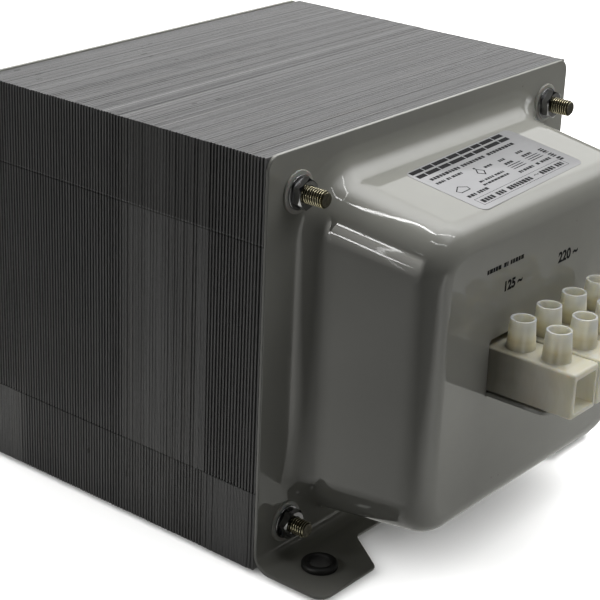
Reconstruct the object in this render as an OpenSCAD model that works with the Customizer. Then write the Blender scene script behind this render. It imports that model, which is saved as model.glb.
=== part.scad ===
// Open-frame step-down transformer: a clamped lamination stack between two
// pressed steel end covers, with a four-pole terminal strip in the front cover.
// Millimetres. +Z up, +X to the right seen from the front, the front (terminal
// side) faces -Y. The origin is the centre of the four fixing holes, at the
// level the unit stands on.

/* [Core] */
// Width of the lamination stack, side to side
core_w = 150; // [146:1:158]
// Height of the lamination stack
core_h = 125; // [122:1:134]
// Depth of the lamination stack, front to back
core_d = 111; // [80:1:130]
// Diameter of the holes for the tie rods
core_hole_d = 7; // [6:0.1:8]

/* [Covers] */
// Thickness of the pressed steel sheet
sheet_t = 1.2; // [0.8:0.1:1.6]
// Depth of the bell in front of the lamination stack
bell_d = 43.8; // [38:0.2:50]
// Half width of the bell where it meets the flange
bell_hw_root = 58.3; // [56.5:0.1:58.5]
// Half width of the bell at its end face
bell_hw_face = 55; // [52:0.5:56]
// Height of the bell's top wall at the flange, above the foot
bell_top_root = 114.2; // [112:0.2:115]
// Height of the bell's top wall at its end face
bell_top_face = 107; // [103:0.5:109]
// Height of the bell's bottom wall at the flange
bell_bot_root = 10; // [9:0.5:12.5]
// Height of the bell's bottom wall at its end face
bell_bot_face = 15.4; // [13:0.2:18]
// Radius where the bell runs out into the flange
root_r = 7; // [6:0.5:7.5]
// Radius round the bell's end face
face_r = 7; // [5:0.5:8]
// Corner radius of the bell at the flange, seen from the end
corner_r_root = 16.7; // [13:0.1:20]
// Corner radius of the bell at its end face, before the edge rounding
corner_r_face = 14.2; // [12:0.1:17]

/* [Feet] */
// Outside radius of the bend between flange and foot
bend_r = 5.8; // [4.4:0.2:7]
// How far each foot reaches out from the flange
foot_reach = 25.8; // [24:0.2:30]
// How far the stiffening lip between the feet reaches out
lip_reach = 10.8; // [9.4:0.2:11.6]
// Distance of the fixing holes from the centre line
foot_hole_x = 61.5; // [60:0.5:63]
// Distance of the fixing holes from the flange
foot_hole_y = 14; // [13:0.5:16]
// Height of the grommet's lip below the foot
grommet_lip = 2; // [1.2:0.1:2.6]
// Bore of the grommet
grommet_bore_d = 6.6; // [5:0.1:7]

/* [Tie rods] */
// Diameter of the tie rods
rod_d = 5; // [4:0.5:5]
// Length of rod that stands out of each cover's flange
rod_out = 10.4; // [9:0.2:14]
// Distance of the tie rods from the side edges of the stack
rod_inset = 12.5; // [11.5:0.5:13.5]
// Distance of the tie rods from the top and bottom edges of the stack
rod_inset_z = 11.9; // [11.5:0.1:13.5]
// Width across the flats of the nuts
nut_af = 8; // [7:0.5:9]
// Height of the nuts
nut_h = 2.7; // [2.4:0.1:4.4]
// Outside diameter of the insulating shoulder washers
ins_washer_d = 12.4; // [11:0.2:13.4]
// Thickness of the insulating washers' flange
ins_washer_t = 0.7; // [0.6:0.1:1.8]
// Outside diameter of the flat steel washers
flat_washer_d = 10; // [9:0.5:10.5]
// Thickness of the flat steel washers
flat_washer_t = 0.5; // [0.4:0.1:1]

/* [Terminal strip] */
// Distance between neighbouring poles
pole_pitch = 13.7; // [13.4:0.1:14.2]
// Width of one pole
pole_w = 12.7; // [12.2:0.1:12.8]
// Length of the strip, front to back
strip_l = 31.5; // [30:0.1:33]
// Height of the strip's body
strip_h = 13.8; // [13.2:0.1:15]
// Height of the screw towers above the body
tower_h = 8.8; // [8:0.1:12]
// Distance between the two screws of one pole
screw_pitch = 11.7; // [11:0.1:12.5]
// Clear diameter of the wire bore in each brass insert
wire_bore_d = 5.6; // [4:0.1:6]
// Height of the strip's seat above the foot
strip_z = 55.2; // [50:0.1:60]
// How far the strip stands out of the bell's end face
strip_out = 27.7; // [27:0.1:28.6]

/* [Label] */
// Length of the rating label
label_l = 57.4; // [42:0.2:60]
// Width of the rating label
label_w = 27.4; // [20:0.2:27.4]
// Angle at which the label was stuck on
label_skew = 2.7; // [0:0.1:4]

/* [Hidden] */

$fn = 48;
eps = 0.01;
// the sheet of lamination material: limbs are one module wide, the middle limb two
limb = core_w / 6;
// the flat yokes are as tall as a limb is wide
yoke_h = limb;
hd = core_d / 2;
rod_x = core_w / 2 - rod_inset;
rod_z_lo = rod_inset_z;
rod_z_hi = core_h - rod_inset_z;
// how far each rod sits toward the back: the bottom left one is pushed in furthest
function rod_slide(right, top) = top ? (right ? 0.6 : 0.4) : (right ? 1 : 1.8);
flange_h = core_h + 0.4;
flange_corner_r = 4.2;
nc = 7;                    // facets in each corner of the bell
bell_n = 4 * (nc + 1);     // points in each ring of the bell
strip_y = -bell_d - strip_out + strip_l / 2;   // middle of the strip, from the core's face
slot_hw = 1.5 * pole_pitch + pole_w / 2 + 0.3;
insert_l = screw_pitch + 7;
insert_d = wire_bore_d + 2.8;
wire_z = strip_z + strip_h / 2;
label_t = 0.3;
label_gap = 0.04;
// slope of the bell's top wall
top_slope = atan((bell_top_root - bell_top_face) / bell_d);

// Everything is drawn with the foot's underside at z = 0, then raised on the grommets.
module raised() { translate([0, 0, grommet_lip]) children(); }

// A front item drawn at the back as well.
module at_back() { mirror([0, 1, 0]) children(); }

/* ---------- lamination stack ---------- */

module rod_hole(x, z) {
    translate([x, 0, z]) rotate([90, 0, 0]) cylinder(d = core_hole_d, h = core_d + 2, center = true);
}

module yoke(z0) {
    raised() difference() {
        translate([-core_w / 2, -hd, z0]) cube([core_w, core_d, yoke_h]);
        for (s = [-1, 1]) rod_hole(s * rod_x, z0 < core_h / 2 ? rod_z_lo : rod_z_hi);
    }
}

module limb_block(x0, w) {
    raised() translate([x0, -hd, yoke_h]) cube([w, core_d, core_h - 2 * yoke_h]);
}

module core_top_yoke() color([0.47, 0.48, 0.49]) yoke(core_h - yoke_h);
module core_bottom_yoke() color([0.22, 0.22, 0.24]) yoke(0);
module core_left_leg() color([0.2, 0.2, 0.22]) limb_block(-core_w / 2, limb);
module core_right_leg() color([0.2, 0.2, 0.22]) limb_block(core_w / 2 - limb, limb);
module core_centre_leg() color([0.2, 0.2, 0.22]) limb_block(-limb, 2 * limb);

// The coil round the middle limb: a rounded ring that bulges out into both bells.
module winding() {
    over = 25;
    ow = 2 * limb - 1.2;
    od = hd + over;
    iw = limb + 0.6;
    id = hd + 0.6;
    r = 20;
    h = core_h - 2 * yoke_h - 4;
    color([0.45, 0.27, 0.12]) raised() translate([0, 0, yoke_h + 2]) difference() {
        linear_extrude(height = h) union() {
            square([2 * ow, 2 * (od - r)], center = true);
            square([2 * (ow - r), 2 * od], center = true);
            for (sx = [-1, 1], sy = [-1, 1]) translate([sx * (ow - r), sy * (od - r)]) circle(r = r);
        }
        translate([-iw, -id, -1]) cube([2 * iw, 2 * id, h + 2]);
    }
}

/* ---------- end covers ---------- */

// One ring of the bell at depth y, grown by off from the drafted wall line.
function bell_ring(y, off) =
    let (s = -y / bell_d,
         hx = bell_hw_root + (bell_hw_face - bell_hw_root) * s + off,
         zt = bell_top_root + (bell_top_face - bell_top_root) * s + off,
         zb = bell_bot_root + (bell_bot_face - bell_bot_root) * s - off,
         rc = max(1, corner_r_root + (corner_r_face - corner_r_root) * s + off))
    [for (q = [0:3]) for (i = [0:nc])
        let (a = 90 * q + 90 * i / nc,
             cx = (q == 0 || q == 3) ? hx - rc : rc - hx,
             cz = q < 2 ? zt - rc : zb + rc)
        [cx + rc * cos(a), y, cz + rc * sin(a)]];

// Section of the drawn sheet: [y, off] stations from the end face out to the
// flange on the outside, and back again on the inside.
bell_path = concat(
    [for (f = [90, 67.5, 45, 22.5, 0]) [-bell_d + face_r - face_r * sin(f), -face_r + face_r * cos(f)]],
    [for (f = [90, 72, 54, 36, 18]) [-sheet_t - root_r + root_r * cos(f), root_r - root_r * sin(f)]],
    [[-0.75 * sheet_t, root_r + 1.2], [-0.25 * sheet_t, root_r + 1.2]],
    [for (f = [20, 45, 70, 90]) [-sheet_t - root_r + (root_r + sheet_t) * cos(f), root_r - (root_r + sheet_t) * sin(f)]],
    [for (f = [0, 30, 60, 90]) [-bell_d + face_r - (face_r - sheet_t) * sin(f), -face_r + (face_r - sheet_t) * cos(f)]]
);

module bell() {
    m = len(bell_path);
    pts = [for (p = bell_path) each bell_ring(p[0], p[1])];
    sides = [for (i = [0:m - 2]) for (k = [0:bell_n - 1])
        let (k1 = (k + 1) % bell_n, a = i * bell_n + k, b = i * bell_n + k1,
             c = (i + 1) * bell_n + k1, d = (i + 1) * bell_n + k)
        each [[a, b, c], [a, c, d]]];
    polyhedron(points = pts,
        faces = concat(sides,
            [[for (k = [bell_n - 1:-1:0]) k]],
            [[for (k = [0:bell_n - 1]) (m - 1) * bell_n + k]]),
        convexity = 6);
}

// Flat part of the flange, with rounded top corners and the bell's mouth.
module flange() {
    r = flange_corner_r;
    w = core_w / 2;
    mouth = bell_ring(0, root_r);
    difference() {
        union() {
            translate([-w, -sheet_t, bend_r]) cube([core_w, sheet_t, flange_h - r - bend_r]);
            translate([-w + r, -sheet_t, flange_h - r - eps]) cube([core_w - 2 * r, sheet_t, r + eps]);
            for (s = [-1, 1]) translate([s * (w - r), 0, flange_h - r]) rotate([90, 0, 0])
                cylinder(r = r, h = sheet_t);
        }
        rotate([90, 0, 0]) translate([0, 0, -1]) linear_extrude(height = sheet_t + 2)
            polygon([for (p = mouth) [p[0], p[2]]]);
        for (x = [-rod_x, rod_x], z = [rod_z_lo, rod_z_hi])
            translate([x, 1, z]) rotate([90, 0, 0]) cylinder(d = core_hole_d, h = sheet_t + 2);
    }
}

// Bend along the flange's lower edge.
module bend() {
    intersection() {
        translate([0, -bend_r, bend_r]) rotate([0, 90, 0]) difference() {
            cylinder(r = bend_r, h = core_w, center = true);
            cylinder(r = bend_r - sheet_t, h = core_w + 2, center = true);
        }
        translate([-core_w / 2 - 1, -bend_r, -1]) cube([core_w + 2, bend_r + 1, bend_r + 1]);
    }
}

// Lip and feet, bent forward from the flange; rounded tips, a fillet where
// each foot leaves the lip.
module foot_plan() {
    w = core_w / 2;
    tip_r = 4.2;
    in_r = 2.5;
    nr = 4.2;
    xi = w - 26.2;          // where the foot's inner edge starts at its tip
    xl = w - 33.3;            // where it meets the lip
    for (s = [-1, 1]) mirror([s < 0 ? 1 : 0, 0]) {
        difference() {
            polygon(concat(
                [[-1, -bend_r], [-1, -lip_reach], [xl - nr, -lip_reach]],
                // concave run from lip to foot
                [for (a = [0:10:50]) [xl - nr + nr * sin(a), -lip_reach - nr + nr * cos(a)]],
                // inner corner of the tip
                [for (a = [210:15:270]) [xi + in_r + in_r * cos(a), -foot_reach + in_r + in_r * sin(a)]],
                // outer corner of the tip
                [for (a = [270:10:360]) [w - tip_r + tip_r * cos(a), -foot_reach + tip_r + tip_r * sin(a)]],
                [[w, -bend_r]]));
            translate([foot_hole_x, -foot_hole_y]) circle(d = grommet_bore_d + 2.2);
        }
    }
}

module feet() {
    linear_extrude(height = sheet_t) foot_plan();
}

module cover_blank() {
    union() {
        difference() {
            union() {
                bell();
                flange();
            }
            // the bell's run-out stops at the bend's inside
            translate([-core_w, -bend_r + eps, -20]) cube([2 * core_w, bend_r, 20 + bend_r - sheet_t - 3.2]);
        }
        bend();
        feet();
    }
}

// Opening in the end face, its top corners broken; the tongue lanced out of it
// is bent forward as a shelf for the strip.
module slot_cut() {
    c = 0.8;
    top = strip_z + strip_h + 2;
    translate([0, -bell_d - 1, 0]) rotate([90, 0, 0]) mirror([0, 0, 1]) linear_extrude(height = 6)
        polygon([[-slot_hw, strip_z - eps], [slot_hw, strip_z - eps], [slot_hw, top - c],
                 [slot_hw - c, top], [-slot_hw + c, top], [-slot_hw, top - c]]);
}

module shelf() {
    r = 2.6;
    l = 20;
    w = slot_hw - 0.2;
    translate([0, -bell_d, strip_z - sheet_t]) linear_extrude(height = sheet_t) union() {
        translate([-w, -l + r]) square([2 * w, l - r + sheet_t - 0.1]);
        translate([-w + r, -l]) square([2 * (w - r), r + eps]);
        for (s = [-1, 1]) translate([s * (w - r), -l + r]) circle(r = r);
    }
}

module front_cover() color([0.76, 0.76, 0.72]) raised() translate([0, -hd, 0]) {
    difference() {
        cover_blank();
        slot_cut();
    }
    shelf();
}

module back_cover() color([0.76, 0.76, 0.72]) raised() at_back() translate([0, -hd, 0]) cover_blank();

/* ---------- terminal strip ---------- */

module each_pole() {
    for (i = [0:3]) translate([(i - 1.5) * pole_pitch, 0, 0]) children();
}

module strip_place() {
    raised() translate([0, -hd + strip_y, strip_z]) children();
}

module terminal_strip() color([0.9, 0.89, 0.82, 0.9]) strip_place() {
    wz = strip_h / 2;
    difference() {
        union() {
            each_pole() {
                translate([-pole_w / 2, -strip_l / 2, 0]) cube([pole_w, strip_l, strip_h]);
                for (s = [-1, 1]) translate([0, s * screw_pitch / 2, strip_h - eps])
                    cylinder(r1 = 4.1, r2 = 3.8, h = tower_h);
            }
            // webs that join the poles
            for (i = [0:2], s = [-1, 1]) translate([(i - 1) * pole_pitch - 1, s * 7.5 - 1.7, 0])
                cube([2, 3.4, strip_h - 4]);
        }
        each_pole() {
            // rectangular wire mouths
            for (s = [-1, 1]) translate([0, s * (strip_l / 2 - (strip_l - insert_l) / 4), wz])
                cube([pole_w - 2.2, (strip_l - insert_l) / 2 + eps * 2, strip_h - 3.6], center = true);
            // seat of the brass insert
            translate([0, 0, wz]) rotate([90, 0, 0]) cylinder(d = insert_d, h = insert_l + 2, center = true);
            // screw wells
            for (s = [-1, 1]) translate([0, s * screw_pitch / 2, wz]) cylinder(r = 2.8, h = strip_h + tower_h);
        }
    }
}

module terminal_inserts() color([0.78, 0.62, 0.3]) strip_place() each_pole()
    translate([0, 0, strip_h / 2]) difference() {
        rotate([90, 0, 0]) cylinder(d = insert_d, h = insert_l, center = true);
        rotate([90, 0, 0]) cylinder(d = wire_bore_d, h = insert_l + 2, center = true);
        for (s = [-1, 1]) translate([0, s * screw_pitch / 2, 0]) cylinder(d = 4, h = insert_d);
    }

module terminal_screws() color([0.72, 0.7, 0.6]) strip_place() each_pole()
    for (s = [-1, 1]) translate([0, s * screw_pitch / 2, 0]) difference() {
        union() {
            translate([0, 0, strip_h / 2 + wire_bore_d / 2 + 0.1]) cylinder(d = 4, h = strip_h / 2 - wire_bore_d / 2 + 0.8);
            translate([0, 0, strip_h + 0.8 - eps]) cylinder(r = 2.55, h = 2.2);
        }
        translate([-4, -0.45, strip_h + 2]) cube([8, 0.9, 3]);
    }

/* ---------- label ---------- */

module rating_label() {
    r = 2.1;
    yc = -23.4;
    zc = bell_top_root + yc * tan(top_slope);
    color([0.8, 0.8, 0.8]) raised() translate([1.3, -hd + yc, zc]) rotate([top_slope, 0, 0])
        translate([0, 0, label_gap]) rotate([0, 0, label_skew]) linear_extrude(height = label_t) union() {
            square([label_l, label_w - 2 * r], center = true);
            square([label_l - 2 * r, label_w], center = true);
            for (sx = [-1, 1], sy = [-1, 1]) translate([sx * (label_l / 2 - r), sy * (label_w / 2 - r)]) circle(r = r);
        }
}

/* ---------- tie rods and their hardware ---------- */

function corner_x(right) = right ? rod_x : -rod_x;
function corner_z(top) = top ? rod_z_hi : rod_z_lo;

module corner(right, top) {
    raised() translate([corner_x(right), 0, corner_z(top)]) children();
}

// Stands a front item on the flange's outer face.
module on_flange() {
    translate([0, -hd - sheet_t, 0]) rotate([90, 0, 0]) children();
}

module tie_rod(right, top) color([0.72, 0.62, 0.38]) corner(right, top) {
    l = core_d + 2 * sheet_t + 2 * rod_out;
    c = 0.5;
    translate([0, rod_slide(right, top), 0]) rotate([90, 0, 0]) union() {
        cylinder(d = rod_d, h = l - 2 * c, center = true);
        for (s = [0, 1]) mirror([0, 0, s]) translate([0, 0, l / 2 - c - eps])
            cylinder(d1 = rod_d, d2 = rod_d - 2 * c, h = c + eps);
    }
}

module nut() {
    difference() {
        intersection() {
            cylinder(d = nut_af / cos(30), h = nut_h, $fn = 6);
            // crests turned off on both faces
            union() {
                translate([0, 0, nut_h / 2]) cylinder(d1 = nut_af / cos(30) + nut_h * 1.2, d2 = nut_af - 0.5, h = nut_h / 2);
                cylinder(d2 = nut_af / cos(30) + nut_h * 1.2, d1 = nut_af - 0.5, h = nut_h / 2);
            }
        }
        translate([0, 0, -1]) cylinder(d = rod_d, h = nut_h + 2);
    }
}

module nut_at(right, top, back) color([0.78, 0.78, 0.76]) corner(right, top) mirror([0, back ? 1 : 0, 0])
    on_flange() translate([0, 0, ins_washer_t + flat_washer_t]) nut();

module washer_at(right, top, back) color([0.75, 0.75, 0.74]) corner(right, top) mirror([0, back ? 1 : 0, 0])
    on_flange() translate([0, 0, ins_washer_t]) difference() {
        cylinder(d = flat_washer_d, h = flat_washer_t);
        translate([0, 0, -1]) cylinder(d = rod_d + 0.4, h = 3);
    }

// Insulating washer with a shoulder that centres the rod in the flange's hole.
module insulator_at(right, top, back) color([0.62, 0.63, 0.62]) corner(right, top) mirror([0, back ? 1 : 0, 0])
    on_flange() difference() {
        union() {
            cylinder(d = ins_washer_d, h = ins_washer_t - 0.3);
            translate([0, 0, ins_washer_t - 0.3 - eps]) cylinder(d1 = ins_washer_d, d2 = ins_washer_d - 0.6, h = 0.3 + eps);
            translate([0, 0, -sheet_t + 0.1]) cylinder(d = core_hole_d - 0.2, h = sheet_t);
        }
        translate([0, 0, -5]) cylinder(d = rod_d + 0.2, h = 20);
    }

module tie_rod_top_left() tie_rod(false, true);
module tie_rod_top_right() tie_rod(true, true);
module tie_rod_bottom_left() tie_rod(false, false);
module tie_rod_bottom_right() tie_rod(true, false);

module front_nut_top_left() nut_at(false, true, false);
module front_nut_top_right() nut_at(true, true, false);
module front_nut_bottom_left() nut_at(false, false, false);
module front_nut_bottom_right() nut_at(true, false, false);
module back_nut_top_left() nut_at(false, true, true);
module back_nut_top_right() nut_at(true, true, true);
module back_nut_bottom_left() nut_at(false, false, true);
module back_nut_bottom_right() nut_at(true, false, true);

module front_washer_top_left() washer_at(false, true, false);
module front_washer_top_right() washer_at(true, true, false);
module front_washer_bottom_left() washer_at(false, false, false);
module front_washer_bottom_right() washer_at(true, false, false);
module back_washer_top_left() washer_at(false, true, true);
module back_washer_top_right() washer_at(true, true, true);
module back_washer_bottom_left() washer_at(false, false, true);
module back_washer_bottom_right() washer_at(true, false, true);

module front_insulator_top_left() insulator_at(false, true, false);
module front_insulator_top_right() insulator_at(true, true, false);
module front_insulator_bottom_left() insulator_at(false, false, false);
module front_insulator_bottom_right() insulator_at(true, false, false);
module back_insulator_top_left() insulator_at(false, true, true);
module back_insulator_top_right() insulator_at(true, true, true);
module back_insulator_bottom_left() insulator_at(false, false, true);
module back_insulator_bottom_right() insulator_at(true, false, true);

/* ---------- rubber grommets ---------- */

module grommet(right, back) color([0.06, 0.06, 0.06]) mirror([0, back ? 1 : 0, 0])
    translate([right ? foot_hole_x : -foot_hole_x, -hd - foot_hole_y, 0]) difference() {
        union() {
            cylinder(d = grommet_bore_d + 4.2, h = grommet_lip);
            cylinder(d = grommet_bore_d + 2.2, h = 2 * grommet_lip + sheet_t);
            translate([0, 0, grommet_lip + sheet_t]) cylinder(d = grommet_bore_d + 4.2, h = grommet_lip);
        }
        translate([0, 0, -1]) cylinder(d = grommet_bore_d, h = 20);
        for (s = [0, 1]) translate([0, 0, s * (2 * grommet_lip + sheet_t)]) mirror([0, 0, s])
            translate([0, 0, -eps]) cylinder(d1 = grommet_bore_d + 0.9, d2 = grommet_bore_d, h = 0.45);
    }

module grommet_front_left() grommet(false, false);
module grommet_front_right() grommet(true, false);
module grommet_back_left() grommet(false, true);
module grommet_back_right() grommet(true, true);

core_top_yoke();
core_bottom_yoke();
core_left_leg();
core_right_leg();
core_centre_leg();
winding();
front_cover();
back_cover();
terminal_strip();
terminal_inserts();
terminal_screws();
rating_label();
tie_rod_top_left();
tie_rod_top_right();
tie_rod_bottom_left();
tie_rod_bottom_right();
front_nut_top_left();
front_nut_top_right();
front_nut_bottom_left();
front_nut_bottom_right();
back_nut_top_left();
back_nut_top_right();
back_nut_bottom_left();
back_nut_bottom_right();
front_washer_top_left();
front_washer_top_right();
front_washer_bottom_left();
front_washer_bottom_right();
back_washer_top_left();
back_washer_top_right();
back_washer_bottom_left();
back_washer_bottom_right();
front_insulator_top_left();
front_insulator_top_right();
front_insulator_bottom_left();
front_insulator_bottom_right();
back_insulator_top_left();
back_insulator_top_right();
back_insulator_bottom_left();
back_insulator_bottom_right();
grommet_front_left();
grommet_front_right();
grommet_back_left();
grommet_back_right();
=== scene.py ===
import math
import random

import bmesh
import bpy
import numpy as np
from mathutils import Matrix, Vector
from mathutils.geometry import tessellate_polygon


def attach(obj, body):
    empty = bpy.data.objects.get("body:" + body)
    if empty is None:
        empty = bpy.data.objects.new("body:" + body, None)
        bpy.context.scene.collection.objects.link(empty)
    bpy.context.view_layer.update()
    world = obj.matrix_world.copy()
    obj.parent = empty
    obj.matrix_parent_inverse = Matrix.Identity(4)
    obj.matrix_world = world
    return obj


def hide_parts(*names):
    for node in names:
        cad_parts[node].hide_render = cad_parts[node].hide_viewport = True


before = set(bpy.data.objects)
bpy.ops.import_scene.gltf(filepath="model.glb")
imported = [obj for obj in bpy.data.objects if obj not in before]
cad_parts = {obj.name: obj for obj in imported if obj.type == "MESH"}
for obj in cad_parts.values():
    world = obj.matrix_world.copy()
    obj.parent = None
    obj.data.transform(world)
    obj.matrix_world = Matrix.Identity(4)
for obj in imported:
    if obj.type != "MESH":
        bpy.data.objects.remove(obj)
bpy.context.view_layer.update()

MM = 0.001
random.seed(7)
RNG = np.random.default_rng(11)
scene = bpy.context.scene

# ------------------------------------------------------------------ camera
CAM_POS = Vector((-0.414582, -0.336737, 0.269347))
CAM_RIGHT = Vector((0.63140673, -0.7744797, 0.03881666))
CAM_DOWN = Vector((-0.27343352, -0.26920405, -0.92345183))
CAM_FWD = Vector((0.7256443, 0.57245993, -0.38174596))
cam_data = bpy.data.cameras.new("camera")
cam_data.sensor_width = 36.0
cam_data.lens = 1761.5 / 600.0 * 36.0
cam_data.clip_start = 0.02
cam_data.clip_end = 50.0
cam = bpy.data.objects.new("camera", cam_data)
rot = Matrix((CAM_RIGHT, -CAM_DOWN, -CAM_FWD)).transposed()
cam.matrix_world = Matrix.Translation(CAM_POS) @ rot.to_4x4()
scene.collection.objects.link(cam)
scene.camera = cam

# ------------------------------------------------------------------ materials


class Mat:
    """Small helper round one node material with a Principled shader."""

    def __init__(self, name):
        self.m = bpy.data.materials.new(name)
        self.m.use_nodes = True
        self.nt = self.m.node_tree
        self.nt.nodes.clear()
        self.out = self.nt.nodes.new("ShaderNodeOutputMaterial")
        self.b = self.nt.nodes.new("ShaderNodeBsdfPrincipled")
        self.link(self.b.outputs[0], self.out.inputs[0])
        self._pos = None

    def link(self, a, b):
        self.nt.links.new(a, b)

    def set(self, **kw):
        for k, v in kw.items():
            self.put(self.b.inputs[k.replace("_", " ")], v)
        return self

    def put(self, sock, v):
        if isinstance(v, bpy.types.NodeSocket):
            self.link(v, sock)
        elif isinstance(v, (tuple, list)) and len(v) == 3 and sock.type == "RGBA":
            sock.default_value = (*v, 1.0)
        else:
            sock.default_value = v

    def node(self, kind, out=0, props=None, **ins):
        n = self.nt.nodes.new("ShaderNode" + kind)
        for k, v in (props or {}).items():
            setattr(n, k, v)
        for k, v in ins.items():
            key = int(k[1:]) if k[0] == "i" and k[1:].isdigit() else k.replace("_", " ")
            self.put(n.inputs[key], v)
        return n.outputs[out]

    def pos(self):
        if self._pos is None:
            self._pos = self.node("TexCoord", "Object")
        return self._pos

    def scaled(self, sx, sy, sz, vec=None):
        return self.node("Mapping", 0, None, Vector=vec or self.pos(), Scale=(sx, sy, sz))

    def noise(self, scale=(100, 100, 100), detail=3.0, rough=0.55, distort=0.0, out=0):
        v = self.scaled(*scale)
        return self.node("TexNoise", out, None, Vector=v, Scale=1.0, Detail=detail, Roughness=rough, Distortion=distort)

    def math(self, op, a, b=None, clamp=False):
        n = self.nt.nodes.new("ShaderNodeMath")
        n.operation = op
        n.use_clamp = clamp
        self.put(n.inputs[0], a)
        if b is not None:
            self.put(n.inputs[1], b)
        return n.outputs[0]

    def remap(self, v, a, b, c, d, clamp=True):
        n = self.nt.nodes.new("ShaderNodeMapRange")
        n.clamp = clamp
        for i, x in enumerate((v, a, b, c, d)):
            self.put(n.inputs[i], x)
        return n.outputs[0]

    def ramp(self, v, stops, interp="LINEAR"):
        n = self.nt.nodes.new("ShaderNodeValToRGB")
        n.color_ramp.interpolation = interp
        el = n.color_ramp.elements
        while len(el) < len(stops):
            el.new(0.5)
        for e, (p, c) in zip(el, stops):
            e.position = p
            e.color = (*c, 1.0) if len(c) == 3 else c
        self.put(n.inputs[0], v)
        return n.outputs[0]

    def mix(self, f, a, b, blend="MIX"):
        n = self.nt.nodes.new("ShaderNodeMix")
        n.data_type = "RGBA"
        n.blend_type = blend
        self.put(n.inputs[0], f)
        self.put(n.inputs[6], a)
        self.put(n.inputs[7], b)
        return n.outputs[2]

    def bump(self, h, strength=0.3, dist=0.0001, normal=None):
        n = self.nt.nodes.new("ShaderNodeBump")
        n.inputs["Strength"].default_value = strength
        n.inputs["Distance"].default_value = dist
        self.put(n.inputs["Height"], h)
        if normal is not None:
            self.put(n.inputs["Normal"], normal)
        return n.outputs[0]

    def attr(self, name, out="Fac"):
        return self.node("Attribute", out, {"attribute_name": name})

    def axis(self, which, vec=None):
        return self.node("SeparateXYZ", "XYZ".index(which), None, Vector=vec or self.pos())


def mat_enamel():
    m = Mat("enamel_cream_grey")
    cloud = m.noise((38, 38, 38), 4, 0.6)
    fine = m.noise((420, 420, 420), 2, 0.5)
    base = m.ramp(cloud, [(0.3, (0.412, 0.410, 0.370)), (0.7, (0.438, 0.437, 0.396))])
    # dust specks and small handling marks
    spec = m.node("TexVoronoi", "Distance", {"feature": "F1"}, Vector=m.scaled(160, 160, 160), Scale=1.0, Randomness=1.0)
    keep = m.noise((90, 90, 90), 2, 0.5)
    dot = m.math("LESS_THAN", spec, 0.055)
    gate = m.math("GREATER_THAN", keep, 0.60)
    speck = m.math("MULTIPLY", dot, gate)
    smear = m.noise((14, 60, 14), 5, 0.65, 0.6)
    smear_f = m.remap(smear, 0.60, 0.78, 0.0, 0.16)
    col = m.mix(smear_f, base, (0.355, 0.355, 0.318))
    col = m.mix(m.math("MULTIPLY", speck, 0.65), col, (0.12, 0.11, 0.095))
    rough = m.math("ADD", m.remap(smear, 0.5, 0.8, 0.035, 0.10), m.math("MULTIPLY", speck, 0.3))
    peel = m.bump(m.noise((520, 520, 520), 2, 0.5), 0.03, 0.00004)
    wave = m.bump(m.noise((30, 30, 30), 1.5, 0.5), 0.07, 0.0005, peel)
    m.set(Base_Color=col, Roughness=rough, Normal=wave)
    m.b.inputs["IOR"].default_value = 1.52
    return m.m


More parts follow.
